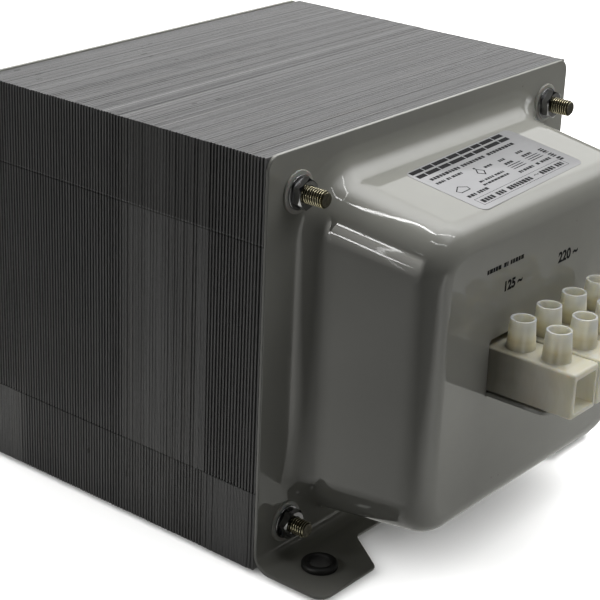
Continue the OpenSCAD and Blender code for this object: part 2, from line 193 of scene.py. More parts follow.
def mat_lamination():
    m = Mat("lamination_edges")
    # per-sheet tone: random differences, with painted shade on the recessed sheets
    tone = m.attr("tone")
    tone_top = m.attr("tone_top")
    x = m.axis("X")
    z = m.axis("Z")
    # streaks that run along each sheet's edge: long in X and Z, one sheet wide in Y
    streak = m.noise((60, 1750, 60), 3, 0.6)
    patch = m.noise((28, 90, 28), 3, 0.6)
    grain = m.noise((700, 2200, 700), 2, 0.6)
    side = m.math("MULTIPLY", tone, m.remap(streak, 0.25, 0.75, 0.80, 1.20))
    side = m.math("MULTIPLY", side, m.remap(patch, 0.3, 0.7, 0.86, 1.14))
    side = m.math("MULTIPLY", side, m.remap(grain, 0.3, 0.7, 0.88, 1.12))
    # joint lines: a painted highlight above, where a burr edge would catch the light, and a dark gap below
    painted_joint_highlight = m.math("LESS_THAN", m.math("ABSOLUTE", m.math("SUBTRACT", z, 0.10225)), 0.00019)
    j_lo = m.math("LESS_THAN", m.math("ABSOLUTE", m.math("SUBTRACT", z, 0.02695)), 0.00024)
    side = m.math("MULTIPLY", side, m.math("SUBTRACT", 1.0, m.math("MULTIPLY", j_lo, m.remap(grain, 0.35, 0.65, 0.45, 0.95))))
    j_up = m.math("LESS_THAN", m.math("ABSOLUTE", m.math("SUBTRACT", z, 0.10182)), 0.00019)
    side = m.math("MULTIPLY", side, m.math("SUBTRACT", 1.0, m.math("MULTIPLY", j_up, m.remap(grain, 0.35, 0.65, 0.35, 0.85))))
    # above the upper joint line the nearly flush zone looks duller
    y = m.axis("Y")
    zone = m.math("MULTIPLY", m.remap(y, -0.040, -0.034, 0.0, 1.0), m.remap(y, -0.008, 0.004, 1.0, 0.0))
    zone = m.math("MULTIPLY", zone, m.remap(z, 0.1020, 0.1025, 0.0, 0.45))
    zone = m.math("MULTIPLY", zone, m.remap(x, 0.0, -0.05, 0.0, 1.0))
    side = m.math("MULTIPLY", side, m.math("SUBTRACT", 1.0, zone))
    dark = m.ramp(side, [(0.0, (0.002, 0.002, 0.0022)), (1.0, (0.265, 0.265, 0.269))])
    # painted highlight along the upper joint line
    dark = m.mix(m.math("MULTIPLY", painted_joint_highlight, m.remap(grain, 0.40, 0.60, 0.15, 1.0)), dark, (0.36, 0.36, 0.365))
    # the top face is bare and scuffed: tone differs from sheet to sheet, and a few sheets carry painted highlights and
    # a few painted shade; all less so to the right
    fade = m.remap(x, -0.070, 0.045, 1.0, 0.38)
    tt = m.math("ADD", 1.0, m.math("MULTIPLY", m.math("SUBTRACT", tone_top, 1.0), fade))
    tt = m.math("MULTIPLY", tt, m.remap(streak, 0.25, 0.75, 0.90, 1.10))
    tt = m.math("MULTIPLY", tt, m.remap(patch, 0.3, 0.7, 0.94, 1.06))
    tt = m.math("MULTIPLY", tt, m.remap(grain, 0.3, 0.7, 0.93, 1.07))
    smudge = m.remap(m.noise((95, 160, 95), 4, 0.62, 0.4), 0.60, 0.74, 0.0, 0.20)
    tt = m.math("MULTIPLY", tt, m.math("SUBTRACT", 1.0, smudge))
    lite = m.ramp(m.math("MULTIPLY", tt, 0.5), [(0.0, (0.020, 0.020, 0.021)), (1.0, (0.385, 0.384, 0.382))])
    up = m.node("SeparateXYZ", 2, None, Vector=m.node("NewGeometry", "True Normal"))
    top = m.remap(up, 0.5, 0.9, 0.0, 1.0)
    col = m.mix(top, dark, lite)
    tint = m.noise((22, 300, 22), 2, 0.5)
    col = m.mix(m.remap(tint, 0.55, 0.8, 0.0, 0.3), col, m.mix(1.0, col, (1.0, 0.94, 0.86), "MULTIPLY"))
    nick = m.node("TexVoronoi", "Distance", {"feature": "F1"}, Vector=m.scaled(70, 240, 70), Scale=1.0, Randomness=1.0)
    gate = m.math("GREATER_THAN", m.noise((33, 33, 33), 1, 0.5), 0.62)
    nick = m.math("MULTIPLY", m.math("LESS_THAN", nick, 0.10), gate)
    col = m.mix(m.math("MULTIPLY", nick, 0.6), col, (0.03, 0.029, 0.027))
    rough = m.remap(streak, 0.3, 0.7, 0.38, 0.60)
    nb = m.bump(m.math("ADD", streak, m.math("MULTIPLY", grain, 0.5)), 0.35, 0.00008)
    m.set(Base_Color=col, Roughness=rough, Normal=nb)
    m.b.inputs["Metallic"].default_value = 0.0
    m.b.inputs["Specular IOR Level"].default_value = 0.26
    return m.m


def mat_yellow_zinc():
    m = Mat("zinc_yellow_chromate")
    hue = m.noise((260, 260, 260), 3, 0.55)
    fine = m.noise((1500, 1500, 1500), 2, 0.5)
    groove = m.attr("groove")
    base = m.ramp(hue, [(0.3, (0.60, 0.54, 0.32)), (0.5, (0.84, 0.78, 0.56)), (0.62, (0.56, 0.55, 0.37)), (0.75, (0.62, 0.48, 0.32))])
    # thread roots go nearly black: painted shade in the grooves
    groove_shade = m.remap(groove, 0.02, 0.34, 0.0, 0.98)
    col = m.mix(groove_shade, base, (0.020, 0.017, 0.008))
    m.set(Base_Color=col, Roughness=m.math("ADD", m.remap(fine, 0.3, 0.7, 0.12, 0.24), m.math("MULTIPLY", groove_shade, 0.35)), Normal=m.bump(fine, 0.25, 0.00003))
    m.b.inputs["Metallic"].default_value = 1.0
    return m.m


def mat_rod_end():
    m = Mat("sawn_rod_end")
    n1 = m.noise((900, 900, 900), 3, 0.6)
    ring = m.noise((1800, 300, 1800), 2, 0.5)
    col = m.ramp(n1, [(0.3, (0.05, 0.046, 0.034)), (0.7, (0.15, 0.138, 0.10))])
    m.set(Base_Color=col, Roughness=m.remap(ring, 0.3, 0.7, 0.35, 0.6), Normal=m.bump(ring, 0.5, 0.00006))
    m.b.inputs["Metallic"].default_value = 0.8
    return m.m


def mat_bright_zinc():
    m = Mat("zinc_bright")
    n1 = m.noise((350, 350, 350), 3, 0.55)
    n2 = m.noise((1700, 1700, 1700), 2, 0.5)
    col = m.ramp(n1, [(0.3, (0.21, 0.21, 0.213)), (0.7, (0.33, 0.33, 0.333))])
    m.set(Base_Color=col, Roughness=m.remap(n1, 0.3, 0.7, 0.10, 0.20), Normal=m.bump(n2, 0.12, 0.00003))
    m.b.inputs["Metallic"].default_value = 1.0
    return m.m


def mat_insulator():
    m = Mat("insulating_washer_grey")
    n1 = m.noise((300, 300, 300), 4, 0.6)
    n2 = m.noise((1600, 1600, 1600), 2, 0.5)
    col = m.ramp(n1, [(0.3, (0.50, 0.50, 0.46)), (0.7, (0.60, 0.60, 0.56))])
    m.set(Base_Color=col, Roughness=m.remap(n2, 0.3, 0.7, 0.38, 0.55), Normal=m.bump(n2, 0.3, 0.00004))
    m.b.inputs["Subsurface Weight"].default_value = 0.15
    m.b.inputs["Subsurface Scale"].default_value = 0.001
    return m.m


def mat_nylon():
    m = Mat("nylon_natural")
    n1 = m.noise((150, 150, 150), 3, 0.55)
    flow = m.noise((60, 260, 60), 3, 0.6, 0.8)
    n2 = m.noise((1500, 1500, 1500), 2, 0.5)
    y = m.axis("Y")
    z = m.axis("Z")
    base = m.ramp(flow, [(0.3, (0.74, 0.71, 0.58)), (0.7, (0.82, 0.80, 0.69))])
    # painted shade: the body turns darker towards the opening that it stands in, and browner
    up = m.node("SeparateXYZ", 2, None, Vector=m.node("NewGeometry", "True Normal"))
    flat = m.remap(up, 0.3, 0.8, 0.0, 1.0)
    near = m.remap(m.math("ADD", y, m.math("MULTIPLY", m.math("SUBTRACT", n1, 0.5), 0.004)), -0.1225, -0.1015, 0.0, 1.0)
    near = m.math("MULTIPLY", near, m.math("SUBTRACT", 1.0, m.math("MULTIPLY", flat, 0.45)))
    low = m.remap(z, 0.0710, 0.0730, 1.0, 0.0)
    near = m.math("MULTIPLY", near, low)
    col = m.mix(m.math("MULTIPLY", near, 0.87), base, (0.085, 0.078, 0.058))
    brown = m.math("MULTIPLY", m.remap(m.math("ABSOLUTE", m.math("SUBTRACT", y, -0.1150)), 0.0, 0.0065, 0.42, 0.0), m.remap(z, 0.0590, 0.0685, 1.0, 0.0))
    col = m.mix(m.math("MULTIPLY", brown, m.math("SUBTRACT", 1.0, flat)), col, (0.34, 0.27, 0.165))
    # towers: yellowed round the insert below, clear and greyer above
    foot = m.math("MULTIPLY", m.remap(z, 0.0738, 0.0762, 1.0, 0.0), m.remap(z, 0.0706, 0.0716, 0.0, 1.0))
    col = m.mix(m.math("MULTIPLY", foot, 0.55), col, m.mix(m.remap(n1, 0.35, 0.65, 0.0, 1.0), (0.43, 0.40, 0.25), (0.55, 0.49, 0.31)))
    hi = m.remap(z, 0.0742, 0.0775, 0.0, 0.8)
    col = m.mix(hi, col, (0.60, 0.62, 0.612))
    m.set(Base_Color=col, Roughness=m.remap(n1, 0.3, 0.7, 0.28, 0.40), Normal=m.bump(m.math("ADD", n2, m.math("MULTIPLY", flow, 1.5)), 0.16, 0.00006))
    m.b.inputs["Subsurface Weight"].default_value = 0.8
    m.b.inputs["Subsurface Radius"].default_value = (1.0, 0.88, 0.62)
    m.b.inputs["Subsurface Scale"].default_value = 0.0030
    m.b.inputs["IOR"].default_value = 1.53
    return m.m


def mat_brass():
    m = Mat("brass_insert")
    n1 = m.noise((300, 300, 300), 3, 0.6)
    n2 = m.noise((1500, 200, 1500), 2, 0.5)
    col = m.ramp(n1, [(0.3, (0.55, 0.39, 0.14)), (0.7, (0.72, 0.56, 0.25))])
    m.set(Base_Color=col, Roughness=m.remap(n1, 0.3, 0.7, 0.25, 0.42), Normal=m.bump(n2, 0.25, 0.00004))
    m.b.inputs["Metallic"].default_value = 1.0
    return m.m


def mat_screw():
    m = Mat("screw_steel")
    n1 = m.noise((500, 500, 500), 3, 0.6)
    n2 = m.noise((2200, 2200, 2200), 2, 0.5)
    col = m.ramp(n1, [(0.3, (0.46, 0.43, 0.35)), (0.7, (0.62, 0.60, 0.52))])
    m.set(Base_Color=col, Roughness=m.remap(n1, 0.3, 0.7, 0.22, 0.38), Normal=m.bump(n2, 0.25, 0.00003))
    m.b.inputs["Metallic"].default_value = 1.0
    return m.m


def mat_rubber():
    m = Mat("rubber_black")
    n1 = m.noise((250, 250, 250), 4, 0.6)
    n2 = m.noise((2000, 2000, 2000), 2, 0.5)
    col = m.ramp(n1, [(0.3, (0.006, 0.006, 0.006)), (0.7, (0.013, 0.0125, 0.012))])
    m.set(Base_Color=col, Roughness=m.remap(n1, 0.3, 0.7, 0.42, 0.62), Normal=m.bump(n2, 0.3, 0.00004))
    return m.m


def mat_label():
    m = Mat("label_silver_foil")
    brushed = m.noise((120, 120, 2600), 3, 0.6)
    n1 = m.noise((80, 80, 80), 3, 0.5)
    col = m.ramp(n1, [(0.3, (0.343, 0.343, 0.350)), (0.7, (0.376, 0.376, 0.383))])
    m.set(Base_Color=col, Roughness=m.remap(brushed, 0.3, 0.7, 0.30, 0.42), Normal=m.bump(n1, 0.15, 0.0001))
    m.b.inputs["Metallic"].default_value = 0.25
    return m.m


def mat_ink():
    m = Mat("print_black")
    n1 = m.noise((900, 900, 900), 3, 0.6)
    col = m.ramp(n1, [(0.3, (0.005, 0.005, 0.006)), (0.7, (0.014, 0.014, 0.015))])
    m.set(Base_Color=col, Roughness=m.remap(n1, 0.3, 0.7, 0.50, 0.70))
    m.b.inputs["Specular IOR Level"].default_value = 0.10
    return m.m


def mat_winding():
    m = Mat("coil_wrap_varnished")
    lay = m.noise((40, 40, 900), 3, 0.6)
    n1 = m.noise((90, 90, 90), 4, 0.6)
    col = m.ramp(n1, [(0.3, (0.10, 0.055, 0.02)), (0.7, (0.21, 0.125, 0.05))])
    m.set(Base_Color=col, Roughness=m.remap(lay, 0.3, 0.7, 0.3, 0.55), Normal=m.bump(lay, 0.5, 0.0003))
    return m.m


def mat_floor():
    m = Mat("floor_pale")
    n1 = m.noise((3, 3, 3), 3, 0.5)
    n2 = m.noise((220, 220, 220), 2, 0.5)
    col = m.ramp(n1, [(0.3, (0.80, 0.80, 0.795)), (0.7, (0.83, 0.83, 0.825))])
    m.set(Base_Color=col, Roughness=m.remap(n2, 0.3, 0.7, 0.55, 0.7), Normal=m.bump(n2, 0.05, 0.0002))
    m.b.inputs["Specular IOR Level"].default_value = 0.2
    return m.m


def mat_card(name, level):
    m = Mat(name)
    n1 = m.noise((300, 300, 300), 3, 0.5)
    m.set(Base_Color=m.ramp(n1, [(0.3, (level * 0.9,) * 3), (0.7, (level * 1.1,) * 3)]), Roughness=0.9)
    return m.m


def mat_glow(name):
    """The floor as the gloss sees it: dark cloth to the left, pale board under, behind and in front."""
    m = Mat(name)
    x = m.axis("X")
    y = m.axis("Y")
    beside = m.remap(x, -0.20, -0.07, 0.14, 0.42)
    beside = m.math("ADD", beside, m.remap(x, -0.05, 0.10, 0.0, 0.20))
    behind = m.math("MULTIPLY", m.remap(y, -0.165, 0.005, 0.0, 1.0), m.remap(x, -0.065, -0.10, 0.0, 1.0))
    near = m.math("ADD", m.remap(x, -0.30, -0.10, 0.70, 1.28), m.remap(x, -0.17, -0.09, 0.0, 0.45))
    beside = m.math("MAXIMUM", beside, m.math("MULTIPLY", behind, near))
    ahead = m.remap(x, -0.150, -0.070, 0.24, 1.40)
    ahead = m.math("SUBTRACT", ahead, m.remap(x, -0.050, 0.010, 0.0, 0.57))
    ahead = m.math("SUBTRACT", ahead, m.remap(x, 0.09, 0.24, 0.0, 0.58))
    f = m.remap(y, -0.10, -0.165, 0.0, 1.0)
    lv = m.math("ADD", beside, m.math("MULTIPLY", f, m.math("SUBTRACT", ahead, beside)))
    n1 = m.noise((6, 6, 6), 2, 0.5)
    lv = m.math("MULTIPLY", lv, m.remap(n1, 0.3, 0.7, 0.95, 1.05))
    m.set(Base_Color=(0.0, 0.0, 0.0), Roughness=1.0, Emission_Color=(1.0, 0.995, 0.945), Emission_Strength=lv)
    m.b.inputs["Specular IOR Level"].default_value = 0.0
    return m.m


def mat_key(name, level):
    m = Mat(name)
    x = m.axis("X")
    y = m.axis("Y")
    sx = m.remap(x, -0.20, 0.30, 0.0, 1.0)
    sx = m.math("MULTIPLY", m.math("MULTIPLY", sx, sx), m.math("SUBTRACT", 3.0, m.math("MULTIPLY", sx, 2.0)))
    sy = m.remap(y, -1.20, -0.20, 0.0, 1.0)
    sy = m.math("MULTIPLY", m.math("MULTIPLY", sy, sy), m.math("SUBTRACT", 3.0, m.math("MULTIPLY", sy, 2.0)))
    far = m.remap(m.math("ADD", x, y), 0.7, 1.7, 1.0, 0.42)
    lv = m.math("MULTIPLY", m.math("MULTIPLY", m.math("MULTIPLY", sx, sy), far), level)
    m.set(Base_Color=(0.0, 0.0, 0.0), Roughness=1.0, Emission_Color=(1.0, 1.0, 1.0), Emission_Strength=lv)
    m.b.inputs["Specular IOR Level"].default_value = 0.0
    return m.m


def mat_panel(name, level):
    """Upright panel to the left: soft at its front and lower edges."""
    m = Mat(name)
    y = m.axis("Y")
    z = m.axis("Z")
    sy = m.math("MULTIPLY", m.remap(y, -0.22, 0.30, 0.0, 1.0), m.remap(y, 0.30, 0.72, 1.0, 0.0))
    sz = m.math("MULTIPLY", m.remap(z, -0.30, 0.62, 0.0, 1.0), m.remap(z, 0.70, 0.95, 1.0, 0.0))
    m.set(Base_Color=(0.0, 0.0, 0.0), Roughness=1.0, Emission_Color=(1.0, 0.99, 0.93), Emission_Strength=m.math("MULTIPLY", m.math("MULTIPLY", sy, sz), level))
    m.b.inputs["Specular IOR Level"].default_value = 0.0
    return m.m


ENAMEL = mat_enamel()
LAM = mat_lamination()
YELLOW = mat_yellow_zinc()
ROD_END = mat_rod_end()
BRIGHT = mat_bright_zinc()
INSUL = mat_insulator()
NYLON = mat_nylon()
BRASS = mat_brass()
SCREW = mat_screw()
RUBBER = mat_rubber()
FOIL = mat_label()
INK = mat_ink()
WRAP = mat_winding()
FLOOR = mat_floor()
DARK_CARD = mat_card("cloth_dark", 0.05)
WHITE_CARD = mat_card("board_pale", 0.47)
BOARD_GLOW = mat_glow("board_glow")
KEY_PANEL = mat_key("key_panel_light", 3.67)
LEFT_PANEL = mat_panel("left_panel_light", 3.4)

# ------------------------------------------------------------------ mesh helpers


def make_object(name, verts_mm, faces, mats, smooth=True, sharp=None, face_mats=None, normals=None, attrs=None):
    """Makes a mesh object from points in millimetres of the shared frame."""
    me = bpy.data.meshes.new(name)
    me.from_pydata([(x * MM, y * MM, z * MM) for x, y, z in verts_mm], [], faces)
    for mt in mats:
        me.materials.append(mt)
    if face_mats is not None:
        me.polygons.foreach_set("material_index", np.asarray(face_mats, dtype=np.int32))
    me.validate(clean_customdata=False)
    if smooth:
        me.shade_smooth()
        if sharp is not None:
            me.set_sharp_from_angle(angle=math.radians(sharp))
    if attrs:
        for an, vals in attrs.items():
            a = me.attributes.new(an, "FLOAT", "POINT")
            a.data.foreach_set("value", np.asarray(vals, dtype=np.float32))
    if normals is not None:
        me.normals_split_custom_set_from_vertices([tuple(n) for n in normals])
    me.update()
    ob = bpy.data.objects.new(name, me)
    scene.collection.objects.link(ob)
    return ob


def settle(ob, slot, *nodes):
    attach(ob, "root")
    if nodes:
        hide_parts(*nodes)
    return ob


def round_poly(pts, radii, step=12.0):
    """Closed counter-clockwise outline with rounded corners: [(x, y), (nx, ny)] with outward normals."""
    out = []
    n = len(pts)
    for i in range(n):
        p0 = np.array(pts[i - 1], float)
        p1 = np.array(pts[i], float)
        p2 = np.array(pts[(i + 1) % n], float)
        d1 = (p1 - p0) / np.linalg.norm(p1 - p0)
        d2 = (p2 - p1) / np.linalg.norm(p2 - p1)
        a1 = math.atan2(d1[1], d1[0])
        turn = math.atan2(d1[0] * d2[1] - d1[1] * d2[0], float(d1 @ d2))
        r = radii[i]
        if r <= 0:
            for d in (d1, d2):
                out.append((tuple(p1), (d[1], -d[0])))
            continue
        t = r * math.tan(abs(turn) / 2)
        start = p1 - d1 * t
        sgn = 1 if turn > 0 else -1
        c = start + sgn * r * np.array([-d1[1], d1[0]])
        k = max(2, int(math.ceil(abs(math.degrees(turn)) / step)))
        for j in range(k + 1):
            a = a1 + turn * j / k
            nrm = np.array([math.sin(a), -math.cos(a)])
            out.append((tuple(c + sgn * r * nrm), tuple(nrm)))
    return out


def circle_loop(cx, cy, r, n=32):
    """A hole's outline; the normals point to its centre, away from the material."""
    return [((cx + r * math.cos(a), cy + r * math.sin(a)), (-math.cos(a), -math.sin(a)))
            for a in [2 * math.pi * i / n for i in range(n)]]


def lathe(profile, segs=48, a0=0.0):
    """Closed profile [(r, h)] turned round the h axis: points in (x, y, h) and quads."""
    v, f = [], []
    m = len(profile)
    for k in range(segs):
        a = a0 + 2 * math.pi * k / segs
        for r, h in profile:
            v.append((r * math.cos(a), r * math.sin(a), h))
    for k in range(segs):
        k1 = (k + 1) % segs
        for i in range(m):
            i1 = (i + 1) % m
            f.append((k * m + i, k1 * m + i, k1 * m + i1, k * m + i1))
    return v, f


def lathe_solid(profile, segs=48):
    """Profile [(r, h)] that starts and ends on the axis: closed with two fans."""
    v, f = [], []
    inner = profile[1:-1]
    m = len(inner)
    for k in range(segs):
        a = 2 * math.pi * k / segs
        for r, h in inner:
            v.append((r * math.cos(a), r * math.sin(a), h))
    b0 = len(v)
    v.append((0, 0, profile[0][1]))
    v.append((0, 0, profile[-1][1]))
    for k in range(segs):
        k1 = (k + 1) % segs
        for i in range(m - 1):
            f.append((k * m + i, k1 * m + i, k1 * m + i + 1, k * m + i + 1))
        f.append((b0, k1 * m, k * m))
        f.append((b0 + 1, k * m + m - 1, k1 * m + m - 1))
    return v, f


def arc(cx, cy, r, a0, a1, n):
    return [(cx + r * math.cos(math.radians(a0 + (a1 - a0) * i / n)), cy + r * math.sin(math.radians(a0 + (a1 - a0) * i / n)))
            for i in range(n + 1)]


def place_y(v, x, z, y0, back):
    """Turns (x, y, h) points so that h runs out of a flange: to -Y in front, to +Y at the back."""
    if not back:
        return [(x + px, y0 - h, z + py) for px, py, h in v]
    return [(x - px, -(y0 - h), z + py) for px, py, h in v]


# ------------------------------------------------------------------ dimensions (millimetres)
LIFT = 2.0
HD = 55.5
T = 1.2
BD = 43.8
HW_R, HW_F = 58.3, 55.0
TOP_R, TOP_F = 114.2, 107.0
BOT_R, BOT_F = 10.0, 15.4
ROOT_R, ROOT_B = 7.0, 3.9
FACE_R = 7.0
CR_R, CR_F = 16.7, 14.2
BEND_R = 5.8
REACH, LIP = 25.8, 10.8
FLANGE_H, FLANGE_CR = 125.4, 4.2
ROD_X, ROD_LO, ROD_HI = 62.5, 11.9, 113.1
HOLE_D = 7.0
FOOT_X, FOOT_Y = 61.5, 14.0
STRIP_Z, STRIP_H, PITCH, POLE_W, STRIP_L = 55.2, 13.8, 13.7, 12.7, 31.5
STRIP_OUT = 27.7
TOWER_H = 8.8
SCREW_P = 11.7
SLOT_HW = 1.5 * PITCH + POLE_W / 2 + 0.3
STRIP_YC = -HD - BD - STRIP_OUT + STRIP_L / 2
INS_T, WASH_T, NUT_H, NUT_AF = 0.7, 0.5, 2.7, 8.0
WASH_D, INS_D = 10.0, 12.4
ROD_OUT, ROD_D = 10.4, 5.0
SLIDE = {(-1, 1): 0.4, (1, 1): 0.6, (-1, -1): 1.8, (1, -1): 1.0}

# ------------------------------------------------------------------ end covers
NC = 18


def smooth01(t):
    t = min(1.0, max(0.0, t))
    return t * t * (3 - 2 * t)


def root_radius(a):
    s = max(0.0, -math.sin(a))
    return ROOT_R + (ROOT_B - ROOT_R) * smooth01(s)


def ring_point(q, a, y, off):
    s = -y / BD
    hx = HW_R + (HW_F - HW_R) * s
    zt = TOP_R + (TOP_F - TOP_R) * s
    zb = BOT_R + (BOT_F - BOT_R) * s
    rc = CR_R + (CR_F - CR_R) * s
    cx = hx - rc if q in (0, 3) else rc - hx
    cz = zt - rc if q < 2 else zb + rc
    return np.array([cx + (rc + off) * math.cos(a), y, cz + (rc + off) * math.sin(a)])


def station(level, u, a):
    """u: 0..1 face rounding, 1..2 wall, 2..3 root fillet."""
    R = root_radius(a)
    if u <= 1:
        f = math.radians(90 * (1 - u))
        r = FACE_R - (T if level else 0)
        return -BD + FACE_R - r * math.sin(f), -FACE_R + r * math.cos(f)
    if u <= 2:
        y0, y1 = -BD + FACE_R, -T - R
        return y0 + (y1 - y0) * (u - 1), -T if level else 0.0
    f = math.radians(90 * (3 - u))
    r = R + (T if level else 0)
    return -T - R + r * math.cos(f), R - r * math.sin(f)


def bell_point(level, q, a, u):
    y, off = station(level, u, a)
    return ring_point(q, a, y, off)


def soft_pair(u, a, reach):
    """Stations a little either side of u, so that the shading turns gently where arcs meet flats."""
    R = root_radius(a)
    lens = (FACE_R * math.pi / 2, BD - FACE_R - T - R, R * math.pi / 2)
    ends = (0.0, lens[0], lens[0] + lens[1], sum(lens))
    k = min(2, int(u))
    s = ends[k] + (u - k) * lens[k]
    d = max(1e-3, min(reach, s, ends[3] - s))
    out = []
    for t in (s - d, s + d):
        t = min(ends[3], max(0.0, t))
        k = 0 if t < ends[1] else 1 if t < ends[2] else 2
        out.append(k + (t - ends[k]) / lens[k])
    return out


US = ([i / 12 for i in range(13)] + [1.03, 1.06, 1.09, 1.12, 1.16, 1.3, 1.5, 1.7, 1.84, 1.88, 1.91, 1.94, 1.97, 2.0]
      + [2 + i / 12 for i in range(1, 13)])
DIRS = [(q, math.radians(90 * q + 90 * i / NC)) for q in range(4) for i in range(NC + 1)]


def build_cover(front):
    V, N, F = [], [], []

    def add(p, n):
        V.append(np.array(p, float))
        n = np.array(n, float)
        N.append(n / (np.linalg.norm(n) or 1.0))
        return len(V) - 1

    def face(*idx):
        p = [V[i] for i in idx]
        g = np.zeros(3)
        for i in range(len(p)):
            g += np.cross(p[i], p[(i + 1) % len(p)])
        want = sum(N[i] for i in idx)
        F.append(tuple(idx) if g @ want > 0 else tuple(reversed(idx)))

    # bell, both skins
    rings = {}
    for level in (0, 1):
        rows = []
        for u in US:
            row = []
            for q, a in DIRS:
                p = bell_point(level, q, a, u)
                # gentle on the two side walls only; elsewhere each section's own tangent counts
                side = max(0.0, (abs(math.cos(a)) - 0.93) / 0.07)
                if side > 0:
                    ua, ub = soft_pair(u, a, 3.0 * side * side * (3 - 2 * side))
                else:
                    ua, ub = max(0.0, u - 1e-3), min(3.0, u + 1e-3)
                ds = bell_point(level, q, a, ub) - bell_point(level, q, a, ua)
                lo = math.radians(90 * q)
                hi = math.radians(90 * q + 90)
                da = bell_point(level, q, min(hi, a + 1e-3), u) - bell_point(level, q, max(lo, a - 1e-3), u)
                n = np.cross(ds, da)
                c = np.array([math.cos(a), -0.4, math.sin(a)])
                if n @ c < 0:
                    n = -n
                if u == 0 or u == 3:
                    n = np.array([0, -1.0, 0])
                row.append(add(p, n if level == 0 else -n))
            rows.append(row)
        rings[level] = rows
        for i in range(len(US) - 1):
            for k in range(len(DIRS)):
                k1 = (k + 1) % len(DIRS)
                face(rows[i][k], rows[i][k1], rows[i + 1][k1], rows[i + 1][k])

    def rim(loop, e, ns=3):
        """loop: [(Pf, n, b)], closed. Rounds the sheet's edge, gives back both skins' boundaries."""
        cols = []
        for Pf, n, b in loop:
            Pf, n, b = (np.array(t, float) for t in (Pf, n, b))
            Pb = Pf - T * n
            col = []
            for j in range(ns + 1):
                th = math.pi / 2 * j / ns
                d = math.sin(th) * b + math.cos(th) * n
                col.append(add(Pf - e * b - e * n + e * d, d))
            for j in range(ns + 1):
                th = math.pi / 2 * j / ns
                d = math.cos(th) * b - math.sin(th) * n
                col.append(add(Pb - e * b + e * n + e * d, d))
            cols.append(col)
        m = len(cols)
        for i in range(m):
            i1 = (i + 1) % m
            for j in range(2 * ns + 1):
                a, b_, c, d = cols[i][j], cols[i1][j], cols[i1][j + 1], cols[i][j + 1]
                if np.linalg.norm(V[a] - V[b_]) < 1e-7 and np.linalg.norm(V[d] - V[c]) < 1e-7:
                    continue
                face(a, b_, c, d)
        return [c[0] for c in cols], [c[-1] for c in cols]

    def fill(outer, holes, ax):
        """Triangulates one flat region; ax: the two axes of its plane."""
        loops = [[Vector((V[i][ax[0]], V[i][ax[1]], 0)) for i in lp] for lp in [outer] + holes]
        flat = [i for lp in [outer] + holes for i in lp]
        for t in tessellate_polygon(loops):
            if len({flat[t[0]], flat[t[1]], flat[t[2]]}) < 3:
                continue
            tri = [V[flat[j]] for j in t]
            if np.linalg.norm(np.cross(tri[1] - tri[0], tri[2] - tri[0])) < 1e-9:
                continue
            face(*[flat[j] for j in t])

    W = 75.0
    e_f = np.array([0, -1.0, 0])
    e_up = np.array([0, 0, 1.0])
    # outline of flange: counter-clockwise in (x, z), from bottom right up, over and down the left
    flange = round_poly([(W, BEND_R), (W, FLANGE_H), (-W, FLANGE_H), (-W, BEND_R)], [0, FLANGE_CR, FLANGE_CR, 0], 9)
    flange = flange[1:-1]                     # the corners at the bend carry one normal each
    big = [((x, -T, z), e_f, (nx, 0, nz)) for (x, z), (nx, nz) in flange]
    n_flange = len(big)
    ng = 8
    left_bend = []
    for j in range(1, ng):
        g = math.pi / 2 * j / ng
        left_bend.append(((-W, -BEND_R + (BEND_R - T) * math.cos(g), BEND_R - (BEND_R - T) * math.sin(g)),
                          (0, -math.cos(g), math.sin(g)), (-1, 0, 0)))
    big += left_bend
    # foot plan, counter-clockwise seen from above, from back left out along the left foot
    fx, lx = 49.99, 39.69
    plan = round_poly([(-W, -BEND_R), (-W, -REACH), (-fx, -REACH), (-lx, -LIP), (lx, -LIP), (fx, -REACH), (W, -REACH), (W, -BEND_R)],
                      [0, 4.2, 2.5, 4.2, 4.2, 2.5, 4.2, 0], 9)
    plan = plan[1:-1]
    i_foot = len(big)
    big += [((x, y, T), e_up, (nx, ny, 0)) for (x, y), (nx, ny) in plan]
    n_foot = len(plan)
    for pt, n, b in reversed(left_bend):
        big.append(((-pt[0], pt[1], pt[2]), n, (1, 0, 0)))
    fr, bk = rim(big, 0.42)
    # rod holes and grommet holes
    rods = [rim([((x, -T, z), e_f, (nx, 0, nz)) for (x, z), (nx, nz) in circle_loop(cx, cz, HOLE_D / 2, 32)], 0.2, 2)
            for cx in (-ROD_X, ROD_X) for cz in (ROD_LO, ROD_HI)]
    feet = [rim([((x, y, T), e_up, (nx, ny, 0)) for (x, y), (nx, ny) in circle_loop(cx, -FOOT_Y, 4.4, 32)], 0.2, 2)
            for cx in (-FOOT_X, FOOT_X)]
    for level, loop in ((0, fr), (1, bk)):
        outer = loop[:n_flange]
        fill(outer, [rings[level][-1]] + [r[level] for r in rods], (0, 2))
        left = loop[n_flange - 1:i_foot + 1]
        right = [loop[0]] + loop[i_foot + n_foot - 1:][1:][::-1] + [loop[i_foot + n_foot - 1]]
        for j in range(len(left) - 1):
            face(left[j], right[j], right[j + 1], left[j + 1])
        fill(loop[i_foot:i_foot + n_foot], [r[level] for r in feet], (0, 1))
    # end face
    if not front:
        for level in (0, 1):
            fill(rings[level][0], [], (0, 2))
    else:
        ri = 0.7
        w = SLOT_HW
        zs = STRIP_Z - T                      # underside of the shelf
        zb = zs - ri
        top = STRIP_Z + STRIP_H + 2
        c = 0.8
        ends = []
        ngs = 6
        right_arc = []
        for j in range(ngs + 1):
            g = math.pi / 2 * j / ngs
            right_arc.append(((w, -BD - ri + ri * math.cos(g), zb + ri * math.sin(g)), (0, -math.cos(g), -math.sin(g)), (1, 0, 0)))
        tip = round_poly([(-w, -BD - ri), (-w, -BD - 20), (w, -BD - 20), (w, -BD - ri)], [0, 2.6, 2.6, 0], 12)[1:-1]
